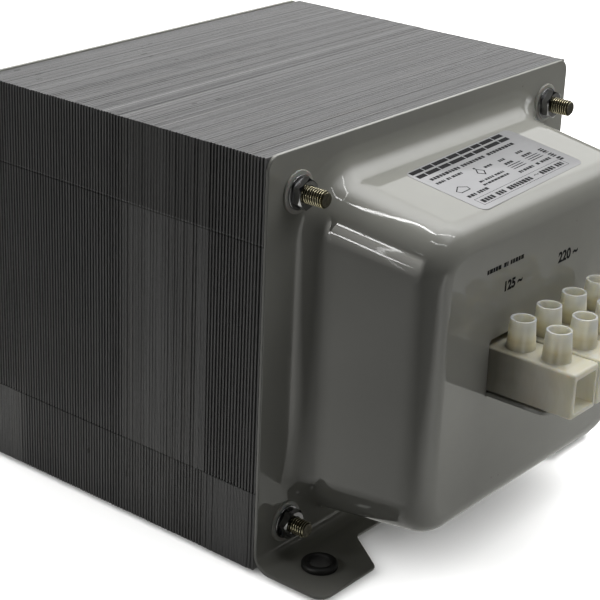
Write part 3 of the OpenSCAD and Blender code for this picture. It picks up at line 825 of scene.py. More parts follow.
        # opening: from the hinge's right end round to its left end
        hole = round_poly([(w, zb), (w, top - c), (w - c, top), (-w + c, top), (-w, top - c), (-w, zb)],
                          [0, 0.4, 0.4, 0.4, 0.4, 0], 22)[1:-1]
        loop = [((x, y, zs), (0, 0, -1.0), (nx, ny, 0)) for (x, y), (nx, ny) in tip]
        n_tip = len(loop)
        loop += list(reversed(right_arc))[1:]
        n_ra = len(loop)
        # walking counter-clockwise round the opening: the material's outward side is the opening's inside
        loop += [((x, -BD, z), e_f, (-nx, 0, -nz)) for (x, z), (nx, nz) in hole[1:-1]]
        n_h = len(loop)
        loop += [((-p[0], p[1], p[2]), n, (-1, 0, 0)) for p, n, b in right_arc][:-1]
        f2, b2 = rim(loop, 0.28)
        for level, lp in ((0, f2), (1, b2)):
            fill(lp[:n_tip], [], (0, 1))
            ra = lp[n_tip - 1:n_ra]           # from the tip back to the hinge, right side
            la = [lp[0]] + lp[n_h:][::-1]
            for j in range(ngs):
                face(ra[j], la[j], la[j + 1], ra[j + 1])
            fill(rings[level][0], [lp[n_ra - 1:n_h + 1]], (0, 2))
    # into the shared frame
    P = []
    NN = []
    for p, n in zip(V, N):
        x, y, z = p
        if front:
            P.append((x, y - HD, z + LIFT))
            NN.append((n[0], n[1], n[2]))
        else:
            P.append((x, -(y - HD), z + LIFT))
            NN.append((n[0], -n[1], n[2]))
    FF = F if front else [tuple(reversed(f)) for f in F]
    return P, FF, NN


for is_front in (True, False):
    P, FF, NN = build_cover(is_front)
    nm = "front_cover" if is_front else "back_cover"
    ob = make_object(nm + "_pressing", P, FF, [ENAMEL], smooth=True, normals=NN)
    settle(ob, "enamel", nm)

# ------------------------------------------------------------------ lamination stack
N_SHEETS = 192
PITCH_S = 2 * HD / N_SHEETS


def slow_noise(n, knots, amp, seed):
    r = np.random.default_rng(seed)
    k = r.normal(0, 1, knots + 4)
    x = np.linspace(0, knots, n)
    i = np.floor(x).astype(int)
    f = x - i
    f = f * f * (3 - 2 * f)
    return amp * (k[i] * (1 - f) + k[i + 1] * f)


def plate_template(outer, holes):
    loops = [[Vector((x, z, 0)) for x, z in lp] for lp in [outer] + holes]
    pts = [p for lp in [outer] + holes for p in lp]
    tris = []
    for t in tessellate_polygon(loops):
        a, b, c = (np.array(pts[j]) for j in t)
        area = (b[0] - a[0]) * (c[1] - a[1]) - (b[1] - a[1]) * (c[0] - a[0])
        if abs(area) < 1e-9:
            continue
        tris.append(tuple(t) if area > 0 else (t[0], t[2], t[1]))
    edges = []
    base = 0
    for li, lp in enumerate([outer] + holes):
        m = len(lp)
        for i in range(m):
            edges.append((base + i, base + (i + 1) % m))
        base += m
    return np.array(pts), tris, edges


def hole_ring(cx, cz, r=3.5, n=10):
    # clockwise, so that its walls face the right way
    return [(cx + r * math.cos(-2 * math.pi * i / n), cz + r * math.sin(-2 * math.pi * i / n)) for i in range(n)]


g = 0.06   # gap at the joint between E and I pieces
HX = 74.8
E_UP = [(-HX, 0.12), (HX, 0.12), (HX, 100 - g), (50, 100 - g), (50, 25), (25, 25), (25, 100 - g), (-25, 100 - g), (-25, 25), (-50, 25),
        (-50, 100 - g), (-HX, 100 - g)]
E_DN = [(x, 125 - z) for x, z in reversed(E_UP)]
I_UP = [(-HX, 100 + g), (HX, 100 + g), (HX, 124.88), (-HX, 124.88)]
I_DN = [(x, 125 - z) for x, z in reversed(I_UP)]
TPL = {
    "E0": plate_template(E_UP, [hole_ring(s * ROD_X, ROD_LO) for s in (-1, 1)]),
    "I0": plate_template(I_UP, [hole_ring(s * ROD_X, ROD_HI) for s in (-1, 1)]),
    "E1": plate_template(E_DN, [hole_ring(s * ROD_X, ROD_HI) for s in (-1, 1)]),
    "I1": plate_template(I_DN, [hole_ring(s * ROD_X, ROD_LO) for s in (-1, 1)]),
}

def step01(x, a, b):
    return smooth01((x - a) / (b - a))


def band(y, yc, w):
    return math.exp(-((y - yc) / w) ** 2)


# sheets on the top face differ in tone in groups; the few odd bright ones are painted highlights of proud sheets and
# the odd dark ones painted shade of recessed sheets: (y, width, amount)
TOP_TONES = [(54.4, 0.9, -0.20), (52.2, 0.7, 0.14), (27.2, 2.2, -0.16), (23.6, 1.2, -0.10), (16.2, 0.7, -0.26), (13.0, 4.0, -0.08), (8.2, 1.8, -0.14),
             (4.8, 0.42, 0.62), (2.6, 1.2, -0.12), (-1.0, 0.7, -0.26), (-2.3, 0.42, 0.55), (-5.6, 1.0, -0.12), (-8.0, 0.35, 0.18), (-11.5, 1.6, -0.10),
             (-15.2, 0.5, -0.20), (-16.6, 0.4, 0.22), (-20.4, 0.7, -0.28), (-25.6, 0.5, -0.10), (-29.0, 0.4, 0.20), (-36.0, 0.35, 0.14),
             (-46.0, 0.8, -0.14), (-51.0, 1.2, -0.10)]
lean = slow_noise(N_SHEETS, 40, 0.016, 3)
base_z = slow_noise(N_SHEETS, 34, 0.03, 13)
tone_g = slow_noise(N_SHEETS, 24, 0.10, 17)
plain = slow_noise(N_SHEETS, 30, 0.16, 23)
for part in ("E", "I"):
    verts, faces, tones_with_recess_shade, tops = [], [], [], []
    for k in range(N_SHEETS):
        odd = k % 2
        pts, tris, edges = TPL[part + str(odd)]
        y0 = -HD + k * PITCH_S + 0.014
        y1 = y0 + PITCH_S - 0.075
        y = (y0 + y1) / 2
        # in one zone of the limb the two kinds of sheet lie nearly flush
        yn = y + RNG.normal(0, 0.9)
        flush = step01(yn, -36.5, -34.5) * (1 - step01(yn, -8.0, 4.0)) * (0.86 + 0.14 * math.sin(y * 1.9))
        if part == "E":
            dx = (0.155 if odd else -0.165) * (1 - flush) + (0.0 if odd else -0.05) * flush
            dx += RNG.normal(0, 0.030 * flush + 0.010)
        elif odd:
            f2 = (1 - step01(yn, -37.5, -35.5) + step01(yn, 38.0, 44.0)) * (1.0 if RNG.random() > 0.14 else 0.4)
            dx = 0.12 * (1 - f2) - 0.13 * f2
        else:
            dx = -0.165 + 0.05 * step01(y, -32.0, -26.0)
        dx = float(np.clip(dx + lean[k] + RNG.normal(0, 0.010), -0.19, 0.19))
        dz = float(np.clip(base_z[k] + RNG.normal(0, 0.022), -0.11, 0.11))
        jit = 1 + RNG.normal(0, 0.07)
        tt = 1 + 1.35 * sum(am * band(y, yc, wd) for yc, wd, am in TOP_TONES) + 0.6 * tone_g[k] + (0.05 if odd else -0.05) + RNG.normal(0, 0.06)
        b = len(verts)
        m = len(pts)
        for yy in (y0, y1):
            for x, z in pts:
                out = -dx if x < 0 else (abs(dx) if part == "I" and odd else dx)
                # recessed sheets get a near-black tone: painted shade in the recesses between the sheets
                t = 0.05 + 0.95 * step01(out, -0.17, 0.07)
                verts.append((x + dx, yy, z + dz + LIFT))
                tones_with_recess_shade.append(t * jit * (1 + tone_g[k]))
                tops.append(tt)
        for a, c, d in tris:
            faces.append((b + a, b + c, b + d))                    # front side, facing -Y
            faces.append((b + m + a, b + m + d, b + m + c))
        for i, j in edges:
            faces.append((b + j, b + i, b + m + i, b + m + j))
    if part == "E":
        # the rest of the stack, just behind the sheet edges, so that no light shows between the sheets; its near-black
        # tone is painted shade in the gaps
        for x0, x1, z0, z1 in ((-74.3, -50.7, 0.7, 124.3), (50.7, 74.3, 0.7, 124.3), (-50.7, 50.7, 100.7, 124.3), (-50.7, 50.7, 0.7, 24.3)):
            b = len(verts)
            for yy in (-HD + 0.4, HD - 0.4):
                for px, pz in ((x0, z0), (x1, z0), (x1, z1), (x0, z1)):
                    verts.append((px, yy, pz + LIFT))
                    tones_with_recess_shade.append(0.03)
                    tops.append(0.1)
            faces.append((b, b + 1, b + 2, b + 3))
            faces.append((b + 7, b + 6, b + 5, b + 4))
            for i, j in ((0, 1), (1, 2), (2, 3), (3, 0)):
                faces.append((b + i, b + 4 + i, b + 4 + j, b + j))
    ob = make_object("lamination_%s_sheets" % part.lower(), verts, faces, [LAM], smooth=False, attrs={"tone": tones_with_recess_shade, "tone_top": tops})
    if part == "E":
        settle(ob, "laminations", "core_top_yoke", "core_bottom_yoke", "core_left_leg", "core_right_leg", "core_centre_leg")
    else:
        settle(ob, "laminations")

# ------------------------------------------------------------------ tie rods and hardware
THREAD = 0.8


def thread_radius(frac):
    """Rounded 60-degree thread between crest and root."""
    t = abs((frac % 1.0) * 2 - 1)
    d = 0.49
    lo, hi = 0.14, 0.88
    s = min(1.0, max(0.0, (t - lo) / (hi - lo)))
    return ROD_D / 2 - d * s, s


def rod_mesh(phase):
    half = HD + T + ROD_OUT
    seg = 36
    rows = []
    n_t = 11
    run = 9.2
    ys = []
    y = -half
    cham = 0.45
    ys = [-half, -half + cham * 0.5, -half + cham]
    while ys[-1] < -half + run:
        ys.append(ys[-1] + THREAD / n_t)
    ys += [-half + run + 0.5]
    full = ys + [-t for t in reversed(ys)]
    V, G, F, M = [], [], [], []
    for y in full:
        ad = half - abs(y)
        for k in range(seg):
            a = 2 * math.pi * k / seg
            if ad > run + 0.2:
                r, s = ROD_D / 2 - 0.03, 0.2
            else:
                fr = (ad / THREAD + (a / (2 * math.pi)) * (1 if y < 0 else -1) + phase)
                r, s = thread_radius(fr)
                if ad < cham:
                    r = min(r, ROD_D / 2 - 0.45 + ad)
            V.append((r * math.cos(a), y, r * math.sin(a)))
            G.append(s)
    n = len(full)
    for i in range(n - 1):
        for k in range(seg):
            k1 = (k + 1) % seg
            F.append((i * seg + k, i * seg + k1, (i + 1) * seg + k1, (i + 1) * seg + k))
            M.append(0)
    # slightly dished sawn ends
    for end, i in ((-1, 0), (1, n - 1)):
        prev = [i * seg + k for k in range(seg)]
        for rr, dd in ((1.55, 0.0), (1.0, 0.05), (0.4, 0.08)):
            cur = []
            for k in range(seg):
                a = 2 * math.pi * k / seg
                V.append((rr * math.cos(a), end * (half - dd), rr * math.sin(a)))
                G.append(0.0)
                cur.append(len(V) - 1)
            for k in range(seg):
                k1 = (k + 1) % seg
                q = (prev[k], prev[k1], cur[k1], cur[k])
                F.append(tuple(reversed(q)) if end < 0 else q)
                M.append(1)
            prev = cur
        V.append((0, end * (half - 0.09), 0))
        G.append(0.0)
        c = len(V) - 1
        for k in range(seg):
            k1 = (k + 1) % seg
            q = (prev[k], prev[k1], c)
            F.append(tuple(reversed(q)) if end < 0 else q)
            M.append(1)
    return V, F, M, G


def flip_out(V, F):
    """Turns every face of a closed mesh outward."""
    bm = bmesh.new()
    vs = [bm.verts.new(v) for v in V]
    for f in F:
        bm.faces.new([vs[i] for i in f])
    bmesh.ops.recalc_face_normals(bm, faces=bm.faces)
    bm.faces.ensure_lookup_table()
    bm.verts.index_update()
    out = [tuple(v.index for v in f.verts) for f in bm.faces]
    bm.free()
    return out


def nut_mesh(rot):
    seg = 72
    r_c = NUT_AF / 2 * 0.965
    V, F = [], []
    ring_n = 8
    for k in range(seg):
        a = 2 * math.pi * k / seg
        d = (math.degrees(a) + 30) % 60 - 30
        rh = NUT_AF / 2 / math.cos(math.radians(d))
        zc = max(0.03, (rh - r_c) * math.tan(math.radians(32)))
        rb = ROD_D / 2 - 0.35
        prof = [(rb, 0.3), (ROD_D / 2 + 0.2, 0.0), (r_c, 0.0), (rh, zc), (rh, NUT_H - zc), (r_c, NUT_H), (ROD_D / 2 + 0.2, NUT_H), (rb, NUT_H - 0.35)]
        for r, h in prof:
            V.append((r * math.cos(a + rot), r * math.sin(a + rot), h))
    for k in range(seg):
        k1 = (k + 1) % seg
        for i in range(ring_n):
            i1 = (i + 1) % ring_n
            F.append((k * ring_n + i, k1 * ring_n + i, k1 * ring_n + i1, k * ring_n + i1))
    return V, F


corner_names = {(-1, 1): "top_left", (1, 1): "top_right", (-1, -1): "bottom_left", (1, -1): "bottom_right"}
nut_turn = {(-1, 1, 0): -5.0, (1, 1, 0): 8.0, (-1, -1, 0): 20.0, (1, -1, 0): -5.0, (-1, 1, 1): 11.0, (1, 1, 1): -24.0, (-1, -1, 1): 3.0, (1, -1, 1): 16.0}
for (sx, sz), cn in corner_names.items():
    cx, cz = sx * ROD_X, (ROD_HI if sz > 0 else ROD_LO) + LIFT
    V, F, M, G = rod_mesh(random.random())
    ob = make_object("stud_" + cn, [(x + cx, y + SLIDE[(sx, sz)], z + cz) for x, y, z in V], F, [YELLOW, ROD_END], sharp=38, face_mats=M, attrs={"groove": G})
    settle(ob, "yellow_zinc", "tie_rod_" + cn)
    for back in (0, 1):
        side = "back" if back else "front"
        y0 = -HD - T
        # insulating washer with a soft edge and a shoulder in the flange's hole
        ro, ri = INS_D / 2, ROD_D / 2 + 0.1
        e = 0.35
        prof = ([(HOLE_D / 2 - 0.12, -T + 0.15), (HOLE_D / 2 - 0.12, 0.0)] + [(ro - 0.15, 0.0)] + arc(ro - 0.15, 0.15, 0.15, -90, 0, 3)[1:]
                + arc(ro - e, INS_T - e, e, 0, 90, 6) + arc(ri + 0.15, INS_T - 0.15, 0.15, 90, 180, 3) + [(ri, -T + 0.15)])
        v, f = lathe(prof, 64)
        v = place_y(v, cx, cz, y0, back)
        ob = make_object("insulating_washer_%s_%s" % (side, cn), v, flip_out(v, f), [INSUL], sharp=40)
        settle(ob, "insulator", "%s_insulator_%s" % (side, cn))
        # punched flat washer
        ro, ri = WASH_D / 2, ROD_D / 2 + 0.2
        prof = [(ri, 0.12), (ri + 0.08, 0.0), (ro - 0.08, 0.0), (ro, 0.08), (ro, WASH_T - 0.15)] + arc(ro - 0.15, WASH_T - 0.15, 0.15, 0, 90, 4)[1:] + [(ri + 0.1, WASH_T), (ri, WASH_T - 0.1)]
        v, f = lathe(prof, 56)
        v = place_y([(x, y, h + INS_T) for x, y, h in v], cx, cz, y0, back)
        ob = make_object("flat_washer_%s_%s" % (side, cn), v, flip_out(v, f), [BRIGHT], sharp=32)
        settle(ob, "bright_zinc", "%s_washer_%s" % (side, cn))
        v, f = nut_mesh(math.radians(nut_turn[(sx, sz, back)]))
        v = place_y([(x, y, h + INS_T + WASH_T) for x, y, h in v], cx, cz, y0, back)
        ob = make_object("hex_nut_%s_%s" % (side, cn), v, flip_out(v, f), [BRIGHT], sharp=24)
        settle(ob, "bright_zinc", "%s_nut_%s" % (side, cn))

# ------------------------------------------------------------------ grommets
for back in (0, 1):
    for sx in (-1, 1):
        ro, rn, ri = 5.4, 4.4, 3.3
        lip = LIFT
        prof = ([(rn, lip), (ro - 0.5, lip - 0.0)] + arc(ro - 0.5, lip - 0.5, 0.5, 90, 0, 4)[1:] + arc(ro - 0.7, 0.7, 0.7, 0, -90, 5)
                + arc(ri + 0.5, 0.5, 0.5, -90, -180, 4) + arc(ri + 0.55, 2 * lip + T - 0.55, 0.55, 180, 90, 5)
                + arc(ro - 0.85, 2 * lip + T - 0.85, 0.85, 90, 0, 6) + arc(ro - 0.4, lip + T + 0.4, 0.4, 0, -90, 4)[1:] + [(rn, lip + T)])
        v, f = lathe(prof, 56)
        cx, cy = sx * FOOT_X, (-HD - FOOT_Y) * (-1 if back else 1)
        v = [(x + cx, y + cy, h) for x, y, h in v]
        nm = "grommet_%s_%s" % ("back" if back else "front", "left" if sx < 0 else "right")
        ob = make_object("rubber_" + nm, v, flip_out(v, f), [RUBBER], sharp=50)
        settle(ob, "rubber", nm)

# ------------------------------------------------------------------ terminal strip


def bevel_box(bm, x0, x1, y0, y1, z0, z1, r=0.0, segs=3):
    vs = [bm.verts.new((x, y, z)) for x in (x0, x1) for y in (y0, y1) for z in (z0, z1)]
    idx = [(0, 1, 3, 2), (4, 6, 7, 5), (0, 4, 5, 1), (2, 3, 7, 6), (0, 2, 6, 4), (1, 5, 7, 3)]
    fs = [bm.faces.new([vs[i] for i in q]) for q in idx]
    if r > 0:
        es = list({e for f_ in fs for e in f_.edges})
        bmesh.ops.bevel(bm, geom=es, offset=r, segments=segs, profile=0.5, affect="EDGES")


def cone(bm, x, y, z0, z1, r0, r1, segs=40):
    a = [bm.verts.new((x + r0 * math.cos(t), y + r0 * math.sin(t), z0)) for t in [2 * math.pi * i / segs for i in range(segs)]]
    b = [bm.verts.new((x + r1 * math.cos(t), y + r1 * math.sin(t), z1)) for t in [2 * math.pi * i / segs for i in range(segs)]]
    for i in range(segs):
        j = (i + 1) % segs
        bm.faces.new((a[i], a[j], b[j], b[i]))
    bm.faces.new(list(reversed(a)))
    bm.faces.new(b)


def cyl_y(bm, x, z, y0, y1, r, segs=40):
    a = [bm.verts.new((x + r * math.cos(t), y0, z + r * math.sin(t))) for t in [2 * math.pi * i / segs for i in range(segs)]]
    b = [bm.verts.new((x + r * math.cos(t), y1, z + r * math.sin(t))) for t in [2 * math.pi * i / segs for i in range(segs)]]
    for i in range(segs):
        j = (i + 1) % segs
        bm.faces.new((a[j], a[i], b[i], b[j]))
    bm.faces.new(a)
    bm.faces.new(list(reversed(b)))


def bm_object(name, bm):
    bmesh.ops.recalc_face_normals(bm, faces=bm.faces)
    me = bpy.data.meshes.new(name)
    bm.to_mesh(me)
    bm.free()
    ob = bpy.data.objects.new(name, me)
    scene.collection.objects.link(ob)
    return ob


def apply_all(ob):
    dg = bpy.context.evaluated_depsgraph_get()
    me = bpy.data.meshes.new_from_object(ob.evaluated_get(dg), depsgraph=dg)
    old = ob.data
    ob.modifiers.clear()
    ob.data = me
    bpy.data.meshes.remove(old)
    return ob


S_Z = STRIP_Z + LIFT
insert_l, insert_d = SCREW_P + 7, 8.4
wz = S_Z + STRIP_H / 2
body = bmesh.new()
cut = bmesh.new()
for i in range(4):
    px = (i - 1.5) * PITCH
    bevel_box(body, px - POLE_W / 2, px + POLE_W / 2, STRIP_YC - STRIP_L / 2, STRIP_YC + STRIP_L / 2, S_Z + 0.22, S_Z + STRIP_H, 0.75, 4)
    for s in (-1, 1):
        ty = STRIP_YC + s * SCREW_P / 2
        cone(body, px, ty, S_Z + STRIP_H - 0.4, S_Z + STRIP_H + TOWER_H, 4.25, 3.62, 48)
        cone(cut, px, ty, S_Z + STRIP_H - 2.0, S_Z + STRIP_H + TOWER_H + 2, 3.05, 3.05, 40)
        # rectangular wire mouth, a little wider at its rim
        ye = STRIP_YC + s * STRIP_L / 2
        yi = STRIP_YC + s * insert_l / 2
        y0, y1 = sorted((yi, ye + s * 1.0))
        bevel_box(cut, px - (POLE_W - 2.2) / 2, px + (POLE_W - 2.2) / 2, y0, y1, wz - (STRIP_H - 3.6) / 2, wz + (STRIP_H - 3.6) / 2, 0.5, 2)
    cyl_y(cut, px, wz, STRIP_YC - insert_l / 2 - 0.5, STRIP_YC + insert_l / 2 + 0.5, insert_d / 2)
    if i < 3:
        for s in (-1, 1):
            bevel_box(body, px + PITCH / 2 - 1.0, px + PITCH / 2 + 1.0, STRIP_YC + s * 7.5 - 1.7, STRIP_YC + s * 7.5 + 1.7, S_Z + 0.3, S_Z + STRIP_H - 4, 0.0)
strip = bm_object("terminal_strip_moulding", body)
cutter = bm_object("strip_cutter", cut)
for v in strip.data.vertices:
    v.co *= MM
for v in cutter.data.vertices:
    v.co *= MM
md = strip.modifiers.new("cut", "BOOLEAN")
md.operation = "DIFFERENCE"
md.object = cutter
md.solver = "EXACT"
md.use_self = True
apply_all(strip)
bpy.data.objects.remove(cutter, do_unlink=True)
md = strip.modifiers.new("soft", "BEVEL")
md.width = 0.00030
md.segments = 2
md.limit_method = "ANGLE"
md.angle_limit = math.radians(50)
md.use_clamp_overlap = True
apply_all(strip)
strip.data.materials.clear()
strip.data.materials.append(NYLON)
strip.data.shade_smooth()
strip.data.set_sharp_from_angle(angle=math.radians(38))
settle(strip, "nylon", "terminal_strip")

# brass inserts and screws keep their CAD shape
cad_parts["terminal_inserts"].data.materials
for nm, mt in (("terminal_inserts", BRASS), ("terminal_screws", SCREW), ("winding", WRAP)):
    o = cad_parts[nm]
    for sl in o.material_slots:
        sl.material = mt
    if not o.material_slots:
        o.data.materials.append(mt)

# ------------------------------------------------------------------ label
SLOPE = math.atan((TOP_R - TOP_F) / BD)
LY = -23.4
LZ = TOP_R + LY * math.tan(SLOPE)
LABEL_M = (Matrix.Translation(Vector((1.3, -HD + LY, LZ + LIFT))) @ Matrix.Rotation(SLOPE, 4, "X") @ Matrix.Rotation(math.radians(2.7), 4, "Z"))
LL, LW = 57.2, 27.3


def label_point(u, v, h):
    p = LABEL_M @ Vector((u, v, 0.45 * h))
    return (p.x, p.y, p.z)


def plate_on(fn, outline, h0, h1, edge=0.0):
    """Thin plate over an outline, on a surface given by fn(u, v, h)."""
    V, F = [], []
    n = len(outline)
    V += [fn(u, v, h0) for u, v in outline]
    if edge > 0:
        V += [fn(u, v, h1 - edge) for u, v in outline]
    cu = sum(p[0] for p in outline) / n
    cv = sum(p[1] for p in outline) / n
    V += [fn(u - (edge * (1 if u > cu else -1)), v - (edge * (1 if v > cv else -1)), h1) if edge > 0 else fn(u, v, h1) for u, v in outline]
    layers = len(V) // n
    for l in range(layers - 1):
        for i in range(n):
            j = (i + 1) % n
            F.append((l * n + i, l * n + j, (l + 1) * n + j, (l + 1) * n + i))
    F.append(tuple(reversed(range(n))))
    F.append(tuple((layers - 1) * n + i for i in range(n)))
    return V, F


outline = [p for p, _ in round_poly([(-LL / 2, -LW / 2), (LL / 2, -LW / 2), (LL / 2, LW / 2), (-LL / 2, LW / 2)], [2.6] * 4, 10)]
v, f = plate_on(label_point, outline, 0.02, 0.22, 0.05)
ob = make_object("rating_label_foil", v, f, [FOIL], sharp=40)
settle(ob, "label_foil", "rating_label")

PV, PF = [], []


def bar(u0, v0, u1, v1, fn=label_point, h0=0.21, h1=0.235):
    global PV, PF
    o = [(u0, v0), (u1, v0), (u1, v1), (u0, v1)]
    v_, f_ = plate_on(fn, o, h0, h1)
    b = len(PV)
    PV += v_
    PF += [tuple(b + i for i in q) for q in f_]


def outline_shape(pts, w, fn=label_point, h0=0.21, h1=0.235):
    """Closed line of width w through pts."""
    global PV, PF
    n = len(pts)
    cu = sum(p[0] for p in pts) / n
    cv = sum(p[1] for p in pts) / n
    inner = []
    for i in range(n):
        p0, p1, p2 = (np.array(pts[(i + d) % n], float) for d in (-1, 0, 1))
        d1 = (p1 - p0) / np.linalg.norm(p1 - p0)
        d2 = (p2 - p1) / np.linalg.norm(p2 - p1)
        n1 = np.array([-d1[1], d1[0]])
        n2 = np.array([-d2[1], d2[0]])
        m_ = (n1 + n2) / (1 + n1 @ n2)
        inner.append(tuple(p1 + w * m_))
    V = [fn(u, v, h0) for u, v in pts] + [fn(u, v, h0) for u, v in inner] + [fn(u, v, h1) for u, v in pts] + [fn(u, v, h1) for u, v in inner]
    F = []
    for i in range(n):
        j = (i + 1) % n
        F += [(2 * n + i, 2 * n + j, 3 * n + j, 3 * n + i), (j, i, n + i, n + j), (i, j, 2 * n + j, 2 * n + i), (n + j, n + i, 3 * n + i, 3 * n + j)]
    b = len(PV)
    PV += V
    PF += [tuple(b + i for i in q) for q in F]


def dashes(u0, v0, u1, h, seed, word=(0.9, 2.6), gap=0.45):
    """A line of small print, stood for by short plain dashes."""
    r = random.Random(seed)
    u = u0
    while u < u1:
        w = min(r.uniform(*word), u1 - u)
        if w > 0.3:
            bar(u, v0, u + w, v0 + h)
        u += w + gap


# generic print: a heavy row of plain blocks, rows of dashes, plain shapes and a ruled box
for v0, v1, cells in ((8.95, 10.6, (4.2, 6.4, 5.2, 7.4, 4.6, 6.0, 7.6, 5.0)), (11.4, 13.05, (6.0, 4.8, 7.2, 5.6, 6.8, 4.4, 6.4, 5.2))):
    u = -27.2
    for w_ in cells:
        bar(u, v0, u + w_, v1)
        u += w_ + 0.5


def words(spans, v0, h, seed, word=(0.7, 1.5), gap=0.28):
    """Rows of small print: short plain dashes, grouped as words."""
    for i, (ua, ub) in enumerate(spans):
        dashes(ua, v0, ub, h, seed + i, word, gap)


words(((-25.0, -9.3), (-8.6, 4.2), (5.6, 20.6)), 6.1, 1.25, 50, (0.9, 1.7), 0.30)
words(((-25.8, -21.4), (-20.4, -18.4), (-17.6, -12.4)), 3.7, 1.0, 60)
words(((-3.2, 1.0),), 1.75, 0.95, 70)
words(((-13.4, -11.2), (-10.4, -5.8), (-5.0, -0.2)), -2.95, 0.85, 74)
words(((-14.1, -12.0), (-11.6, -0.2)), -4.7, 0.8, 80, (0.8, 2.2), 0.22)
words(((-25.2, -20.8), (-20.0, -14.2)), -6.6, 1.2, 84, (0.8, 1.5), 0.3)
outline_shape([(-6.75 + 2.0, 1.25), (-6.75, 1.25 + 2.0), (-6.75 - 2.0, 1.25), (-6.75, 1.25 - 2.0)], 0.42)
bar(-7.25, 3.25, -6.25, 3.95)
outline_shape([(-25.3, -2.0), (-24.4, -3.5), (-19.8, -3.5), (-19.2, -2.0), (-22.1, -0.25)], 0.32)
for c0, s0 in ((0.0, 90), (10.0, 130)):
    words(((4.6 + c0, 8.2 + c0 * 1.03),), 1.6, 1.0, s0, (0.8, 1.2), 0.25)
    words(((4.4 + c0, 9.2 + c0 * 1.03),), -0.75, 1.05, s0 + 5, (0.9, 1.4), 0.25)
    for j in range(3):
        v0 = -1.75 - 1.0 * j
        bar(4.4 + c0, v0, 10.6 + c0, v0 + 0.34)
        bar(3.7 + c0, v0 + 0.09, 4.4 + c0, v0 + 0.25)
        bar(10.6 + c0, v0 + 0.09, 11.3 + c0, v0 + 0.25)
    words(((3.5 + c0, 5.5 + c0), (6.1 + c0, 11.6 + c0)), -6.3, 1.1, s0 + 10, (0.9, 1.6), 0.3)
for j, (va, vb) in enumerate(((-0.3, -3.2), (-3.9, -6.3), (-6.8, -8.8))):
    v_ = va
    r_ = random.Random(200 + j)
    while v_ > vb:
        h_ = r_.uniform(0.5, 0.9)
        bar(23.15, max(vb, v_ - h_), 25.4, v_)
        v_ -= h_ + 0.25
n_dot = 62
for i in range(n_dot):
    ua = -25.1 + 48.2 * i / n_dot
    bar(ua, -8.1, ua + 0.5, -7.9)
    bar(ua, -11.6, ua + 0.5, -11.4)
bar(-25.2, -11.5, -25.02, -8.0)
bar(23.0, -11.5, 23.18, -8.0)
words(((-23.9, -17.2), (-15.8, -11.6), (-9.6, 3.4), (8.8, 16.6), (17.8, 21.7)), -10.75, 1.75, 220, (1.1, 1.7), 0.36)
outline_shape([(5.4, -9.9), (6.4, -9.6), (7.3, -10.0), (8.0, -9.7), (8.0, -9.3), (7.3, -9.6), (6.4, -9.2), (5.4, -9.5)], 0.12)
ob = make_object("label_print", PV, PF, [INK], smooth=False)
settle(ob, "label_foil")

# ------------------------------------------------------------------ numbers printed on the front face


def text_mesh(name, body_text, size_mm, mtx, thick=0.03):
    cu = bpy.data.curves.new(name + "_curve", "FONT")
    cu.body = body_text
    cu.size = size_mm * MM
    cu.extrude = thick * MM / 2
    cu.resolution_u = 6
    cu.space_character = 1.02
    cu.offset = 0.00017
    tmp = bpy.data.objects.new(name + "_tmp", cu)
    scene.collection.objects.link(tmp)
    dg = bpy.context.evaluated_depsgraph_get()
    dg.update()
    me = bpy.data.meshes.new_from_object(tmp.evaluated_get(dg))
    bpy.data.objects.remove(tmp, do_unlink=True)
    bpy.data.curves.remove(cu)
    me.transform(mtx)
    me.materials.clear()
    me.materials.append(INK)
    me.name = name
    ob_ = bpy.data.objects.new(name, me)
    scene.collection.objects.link(ob_)
    return ob_


def face_matrix(x, z, turn_deg, y=-(HD + BD) - 0.022):
    """Text plane on the end face: text x to +X, text y to +Z, facing -Y."""
    m_ = Matrix.Translation(Vector((x * MM, y * MM, z * MM)))
    m_ = m_ @ Matrix(((1, 0, 0, 0), (0, 0, -1, 0), (0, 1, 0, 0), (0, 0, 0, 1)))
    return m_ @ Matrix.Rotation(math.radians(turn_deg), 4, "Z")


def face_point(u, v, h):
    return (u, -(HD + BD) - h, v)


text_a = text_mesh("face_number_left", "125 ~", 4.0, face_matrix(-22.5, 86.5, 0.6))
settle(text_a, "enamel")
text_b = text_mesh("face_number_right", "220 ~", 4.45, face_matrix(6.4, 87.1, 0.6))
settle(text_b, "enamel")
PV, PF = [], []


def face_bar(u0, v0, u1, v1):
    bar(u0, v0, u1, v1, face_point, 0.004, 0.035)


for ua, ub in ((-31.6, -24.2), (-23.3, -21.1), (-20.0, -12.9)):
    u = ua
    r_ = random.Random(int(-ua * 10))
    while u < ub - 0.3:
        w_ = min(r_.uniform(0.9, 1.5), ub - u)
        face_bar(u, 94.0, u + w_, 95.3)
        u += w_ + 0.28
ob = make_object("face_print", PV, PF, [INK], smooth=False)
settle(ob, "enamel")

# ------------------------------------------------------------------ floor and light
bm = bmesh.new()
s = 6.0
vs = [bm.verts.new(p) for p in ((-s, -s, 0), (s, -s, 0), (s, s, 0), (-s, s, 0))]
bm.faces.new(vs)
floor = bm_object("floor", bm)
floor.data.materials.append(FLOOR)
floor.visible_diffuse = False
floor.visible_glossy = False
floor.visible_shadow = False


def area_light(name, loc, target, w, h, power, color=(1, 1, 1), spread=math.pi):
    li = bpy.data.lights.new(name, "AREA")
    li.shape = "RECTANGLE"
    li.size, li.size_y = w, h
    li.energy = power
    li.color = color
    li.spread = spread
    ob_ = bpy.data.objects.new(name, li)
    loc = Vector(loc)
    d = (Vector(target) - loc).normalized()
    ob_.matrix_world = Matrix.Translation(loc) @ d.to_track_quat("-Z", "Y").to_matrix().to_4x4()
    scene.collection.objects.link(ob_)
    return ob_


P0 = Vector((-0.055, -0.075, 0.105))


